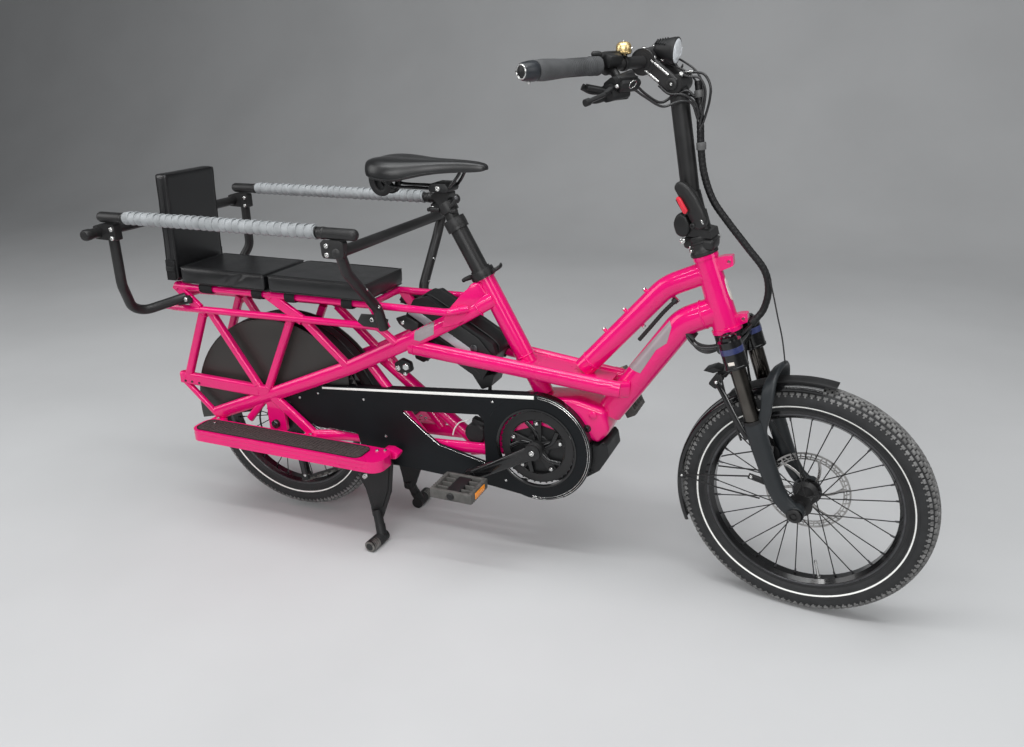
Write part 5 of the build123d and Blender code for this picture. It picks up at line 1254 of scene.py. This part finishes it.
# ------------------------------------------------------------ soft pads
def soft(name, node, outline, half_width, pinned, crease=None, cap=0.012, pressure=4.0, voxel=0.0055):
    """Stuffed pad: a plain box of that side outline, blown up a little as cloth."""
    s = Shape().add(slab(outline, -half_width, half_width, 4.0, 2), 0)
    o = make(name, s, [VINYL], "frame", stands_for=(node,), sharp=70)
    bpy.context.view_layer.objects.active = o
    world = LEVEL @ MM
    inv = world.inverted()
    rm = o.modifiers.new("remesh", "REMESH")
    rm.mode, rm.voxel_size = "VOXEL", voxel
    dg = bpy.context.evaluated_depsgraph_get()
    me = bpy.data.meshes.new_from_object(o.evaluated_get(dg))
    o.modifiers.clear()
    o.data = me
    if not me.materials:
        me.materials.append(VINYL)
    rest = [v.co.copy() for v in me.vertices]
    g = o.vertex_groups.new(name="held")
    for v in me.vertices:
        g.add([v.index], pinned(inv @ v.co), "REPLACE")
    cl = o.modifiers.new("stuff", "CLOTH")
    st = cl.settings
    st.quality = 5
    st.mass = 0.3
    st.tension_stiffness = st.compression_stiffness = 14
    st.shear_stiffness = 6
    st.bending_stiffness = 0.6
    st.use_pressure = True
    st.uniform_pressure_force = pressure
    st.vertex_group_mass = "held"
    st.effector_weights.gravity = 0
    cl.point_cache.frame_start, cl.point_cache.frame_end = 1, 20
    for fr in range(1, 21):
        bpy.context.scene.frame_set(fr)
    dg = bpy.context.evaluated_depsgraph_get()
    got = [v.co.copy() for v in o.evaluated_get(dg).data.vertices]
    o.modifiers.clear()
    bpy.context.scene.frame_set(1)
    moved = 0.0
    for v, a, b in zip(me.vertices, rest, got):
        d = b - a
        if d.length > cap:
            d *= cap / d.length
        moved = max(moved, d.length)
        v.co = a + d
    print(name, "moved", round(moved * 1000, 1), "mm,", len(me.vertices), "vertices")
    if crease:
        for v in me.vertices:
            p = inv @ v.co
            dz = crease(p)
            if dz:
                v.co = world @ (p + dz)
    for p in me.polygons:
        p.use_smooth = True
    sub = o.modifiers.new("round", "SUBSURF")
    sub.levels = sub.render_levels = 1
    return o


def bump_line(p, a, b, wide, depth, way):
    """Furrow along a to b on the face that way points out of."""
    a, b = Vector(a), Vector(b)
    t = max(0.0, min(1.0, (p - a).dot(b - a) / (b - a).length_squared))
    dist = (p - a.lerp(b, t)).length
    if dist > wide:
        return None
    fade = min(1.0, 4 * t * (1 - t) + 0.25)
    return Vector(way) * -depth * fade * (0.5 + 0.5 * cos(pi * dist / wide))


def rear_crease(p):
    out = V(0, 0, 0)
    for a, b, w, dp in (((-88, -88, 612), (-34, -88, 650), 11, 3.4), ((-108, -88, 618), (-82, -88, 640), 8, 1.6)):
        q = bump_line(p, a, b, w, dp, (0, -1, 0))
        if q:
            out += q
    return out if out.length else None


def tb(z0, z1):
    """Hold the underside and, less, the top."""
    return lambda p: 1.0 if p.z < z0 + 5 else (0.55 if p.z > z1 - 3 else 0.0)


REAR_PAD = soft("seat_pad_rear_soft", "seat_pad_rear", [(-236, 611), (21, 611), (22, 652), (-237, 652)], 86.5, tb(611, 652), rear_crease)
FRONT_PAD = soft("seat_pad_front_soft", "seat_pad_front", [(33, 611), (309, 611), (311, 652), (32, 652)], 86.5, tb(611, 652))
BACK_PAD = soft("backrest_soft", "backrest", [(-279.5, 614), (-246.5, 614), (-234.5, 881), (-267, 881)], 86.5, lambda p: 0.85 if p.x < -276 + (p.z - 613) * 0.048 else (0.5 if p.x > -250 + (p.z - 613) * 0.048 else 0.0), cap=0.008)

# seams, piping, straps, buckles
def pulled(o, pts, out=0.5):
    """Points moved onto the soft pad, a little proud of it."""
    tree = BVHTree.FromPolygons([v.co.copy() for v in o.data.vertices], [tuple(p.vertices) for p in o.data.polygons])
    world = LEVEL @ MM
    inv = world.inverted()
    got = []
    for p in pts:
        at, nn, _, _ = tree.find_nearest(world @ Vector(p))
        got.append(inv @ (at + nn * out / 1000))
    return got


s = Shape()
for o, x0, x1 in ((REAR_PAD, -236.5, 21.5), (FRONT_PAD, 32.5, 310.5)):
    for z in (652.6, 611.5):
        loop = []
        w = 88
        for (ax0, ay0), (bx0, by0) in (((x1, w), (x0, w)), ((x0, w), (x0, -w)), ((x0, -w), (x1, -w)), ((x1, -w), (x1, w))):
            n = max(2, round(math.hypot(bx0 - ax0, by0 - ay0) / 6))
            loop += [V(ax0 + (bx0 - ax0) * q / n, ay0 + (by0 - ay0) * q / n, z) for q in range(n)]
        s.add(tube(pulled(o, loop), 1.2, sides=8, closed=True), 0)
for x in (-246, -280):
    loop = []
    for (ay0, az0), (by0, bz0) in (((88, 612), (88, 883)), ((88, 883), (-88, 883)), ((-88, 883), (-88, 612)), ((-88, 612), (88, 612))):
        n = max(2, round(math.hypot(by0 - ay0, bz0 - az0) / 6))
        loop += [V(x + 12 * (az0 + (bz0 - az0) * q / n - 614) / 267, ay0 + (by0 - ay0) * q / n, az0 + (bz0 - az0) * q / n) for q in range(n)]
    s.add(tube(pulled(BACK_PAD, loop), 1.1, sides=8, closed=True), 0)
make("pad_piping", s, [VINYL], "frame")
s = Shape()
for side in (-1, 1):
    for x0, x1 in ((-192, -140), (-28, 12), (70, 108), (232, 270)):
        c = (x0 + x1) / 2
        for q, wd in ((c, (x1 - x0) * 0.78),):
            pts = [(q, side * 60, 610), (q, side * 79, 610.5), (q, side * 82.6, 606), (q, side * 82.4, 594), (q, side * 78, 588.6), (q, side * 64, 588.2), (q, side * 59.5, 594), (q, side * 59.5, 606)]
            s.add(tube(smooth(pts, 5, closed=True), wd / 2, 1.5, 12, side=(1, 0, 0), closed=True), 0)
    # strap and buckle at the backrest's foot
    s.add(slab([(-278, 616), (-250, 616), (-246, 668), (-276, 668)], *sorted((side * 87.2, side * 89.6)), 0.8), 0)
    s.add(slab([(-276, 640), (-250, 640), (-249, 652), (-275, 652)], *sorted((side * 89.2, side * 92.0)), 1.0), 1)
s.add(block(V(27, 0, 612), (10, 176, 3), 1), 0)
s.add(block(V(-186, -60, 596), (36, 10, 16), 3), 1)
make("pad_straps", s, [WEB, PLASTIC], "frame")
s = Shape()
for side in (-1, 1):
    s.add(tube(pulled(BACK_PAD, [V(-258 + q * 1.1, side * 92, 670 + 20 * q) for q in range(10)], 0.3), 0.8, sides=6), 0)
    for o, x0, x1 in ((REAR_PAD, -226, 10), (FRONT_PAD, 44, 300)):
        s.add(tube(pulled(o, [V(x0 + (x1 - x0) * q / 40, side * 79, 656) for q in range(41)], 0.2), 0.6, sides=6), 0)
make("pad_stitching", s, [THREAD], "frame")

# ------------------------------------------------------------ rear wheel area, rack, mudguard
s = Shape()
ghub = HUBS["rear"]
s.add(lathe([(270, -34.6), (273, -34.4), (273, -31), (258, -33.2), (258, -34.6)], ghub, (0, -1, 0), 110, closed=True, start=math.radians(20), sweep=math.radians(150), ref=(1, 0, 0)), 0)
s.add(lathe([(270, 34.6), (273, 34.4), (273, 31), (258, 33.2), (258, 34.6)], ghub, (0, -1, 0), 110, closed=True, start=math.radians(20), sweep=math.radians(150), ref=(1, 0, 0)), 0)
s.add(lathe([(274.6, -3), (276.4, -2), (276.4, 2), (274.6, 3)], ghub, (0, -1, 0), 110, closed=True, start=math.radians(20), sweep=math.radians(150), ref=(1, 0, 0)), 0)
make("rear_mudguard_edges", s, [GLOSS], "frame")
s = Shape()
for side in (-1, 1):
    pts = [V(271 * cos(a), side * 49.6, 254 + 271 * sin(a)) for a in [math.radians(8 + 3.0 * k) for k in range(52)]]
    s.add(tube(pts, 1.4, 1.4, 8), 0)
make("skirt_edges", s, [SKIRT], "frame")
s = Shape()
for side in (-1, 1):
    for x, z in [(-284, 336), (-262, 336), (-238, 335)]:
        s.add(bolt(V(x, side * 79, z), SIDE * side, 3.4, 1.8), 1)
    for x in (-262, -90, 60, 196):
        s.add(lathe([(3.6, 0), (3.6, 1.2), (2.4, 1.4), (2.2, 0.2), (0.1, 0.2)], V(x, side * 83, 541 + (x + 280) * 0.018), V(0, side, -0.1), 16), 1)
    s.add(lathe([(9, 0), (9.6, 1), (9.6, 5), (8, 7), (0.1, 7.6)], V(-336, side * 74, 541), SIDE * side, 28), 0)
make("rack_inserts", s, [PINK, DARK_STEEL], "frame")
# rear caliper hose and bolts
s = Shape()
s.add(tube(smooth([V(96, 58, 306), V(130, 70, 330), V(200, 62, 400), V(280, 52, 462), V(380, 48, 492), V(520, 44, 500), V(700, 40, 488)], 10), 2.6, sides=10), 0)
for x, z in ((66, 316), (92, 290)):
    s.add(bolt(V(x, 66, z), SIDE, 5, 4), 1)
make("rear_brake_hose", s, [CABLE, STEEL], "frame")

# ------------------------------------------------------------ stage
floor_z = START[0].z
STAGE = finish("studio_floor", (0.55, 0.555, 0.56), 0.85, spread=0.03, rough_spread=0.04, scale=1.4, spec=0.25)
prof = [(-9.0, 0.0), (3.2, 0.0)] + [(3.2 + 2.2 * sin(a), 2.2 - 2.2 * cos(a)) for a in [math.radians(9 * k) for k in range(1, 11)]] + [(5.4, 8.0)]
verts = [(x, y, floor_z + z) for y, z in prof for x in (-12.0, 12.0)]
faces = [(2 * i, 2 * i + 1, 2 * i + 3, 2 * i + 2) for i in range(len(prof) - 1)]
me = bpy.data.meshes.new("stage_floor")
me.from_pydata(verts, [], faces)
me.materials.append(STAGE)
for p in me.polygons:
    p.use_smooth = True
floor = bpy.data.objects.new("stage_floor", me)
bpy.context.scene.collection.objects.link(floor)
floor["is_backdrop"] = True


def lamp(name, at, to, size, power, colour=(1, 1, 1)):
    l = bpy.data.lights.new(name, "AREA")
    l.shape, l.size, l.size_y, l.energy, l.color = "RECTANGLE", size[0], size[1], power, colour
    o = bpy.data.objects.new(name, l)
    bpy.context.scene.collection.objects.link(o)
    o.location = at
    o.rotation_mode = "QUATERNION"
    o.rotation_quaternion = (Vector(to) - Vector(at)).to_track_quat("-Z", "Y")
    return o


lamp("sky", (0.2, -0.6, 4.2), (0.0, 0.0, 0.4), (4.2, 3.2), 112, (0.97, 0.99, 1.0))
lamp("strip", (0.1, -1.5, 3.4), (0.0, 0.0, 0.5), (4.6, 0.14), 42, (1.0, 1.0, 1.0))
lamp("strip_low", (0.3, -3.4, 1.9), (0.0, 0.0, 0.5), (3.6, 0.12), 24, (1.0, 1.0, 1.0))
lamp("front", (1.2, -4.6, 2.4), (0.0, 0.0, 0.5), (3.2, 2.2), 62)
lamp("left", (-3.6, -1.8, 2.2), (0.0, 0.0, 0.5), (2.0, 2.4), 40)
lamp("right", (3.8, -0.6, 2.4), (0.2, 0.0, 0.5), (2.0, 2.4), 28)
world = bpy.data.worlds.new("studio")
bpy.context.scene.world = world
world.use_nodes = True
world.node_tree.nodes["Background"].inputs["Color"].default_value = (0.86, 0.88, 0.9, 1)
world.node_tree.nodes["Background"].inputs["Strength"].default_value = 0.13
bpy.context.scene.view_settings.view_transform = "Standard"
bpy.context.scene.view_settings.look = "None"

# ------------------------------------------------------------ camera
F, CY = 858.072, 383.813
yaw, pitch, roll = 0.40385, 0.37188, math.radians(-1.0685)
fwd = V(-sin(yaw) * cos(pitch), cos(yaw) * cos(pitch), -sin(pitch))
right = V(cos(yaw), sin(yaw), 0)
up = right.cross(fwd)
r2, u2 = right * cos(roll) + up * sin(roll), right * -sin(roll) + up * cos(roll)
rot = Matrix((r2, u2, -fwd)).transposed().to_4x4()
cam_data = bpy.data.cameras.new("camera")
cam = bpy.data.objects.new("camera", cam_data)
bpy.context.scene.collection.objects.link(cam)
cam.matrix_world = LEVEL @ Matrix.Translation((1.3671, -1.71592, 1.14927)) @ rot
cam_data.sensor_fit, cam_data.sensor_width = "HORIZONTAL", 36.0
cam_data.lens = F * 36 / 1024
cam_data.shift_x, cam_data.shift_y = 0.0, (CY - 373.5) / 1024
cam_data.clip_start, cam_data.clip_end = 0.05, 60
bpy.context.scene.camera = cam

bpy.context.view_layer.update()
print("triangles", sum(len(o.data.loop_triangles) if o.type == "MESH" and (o.data.calc_loop_triangles() or True) else 0 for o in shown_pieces()))
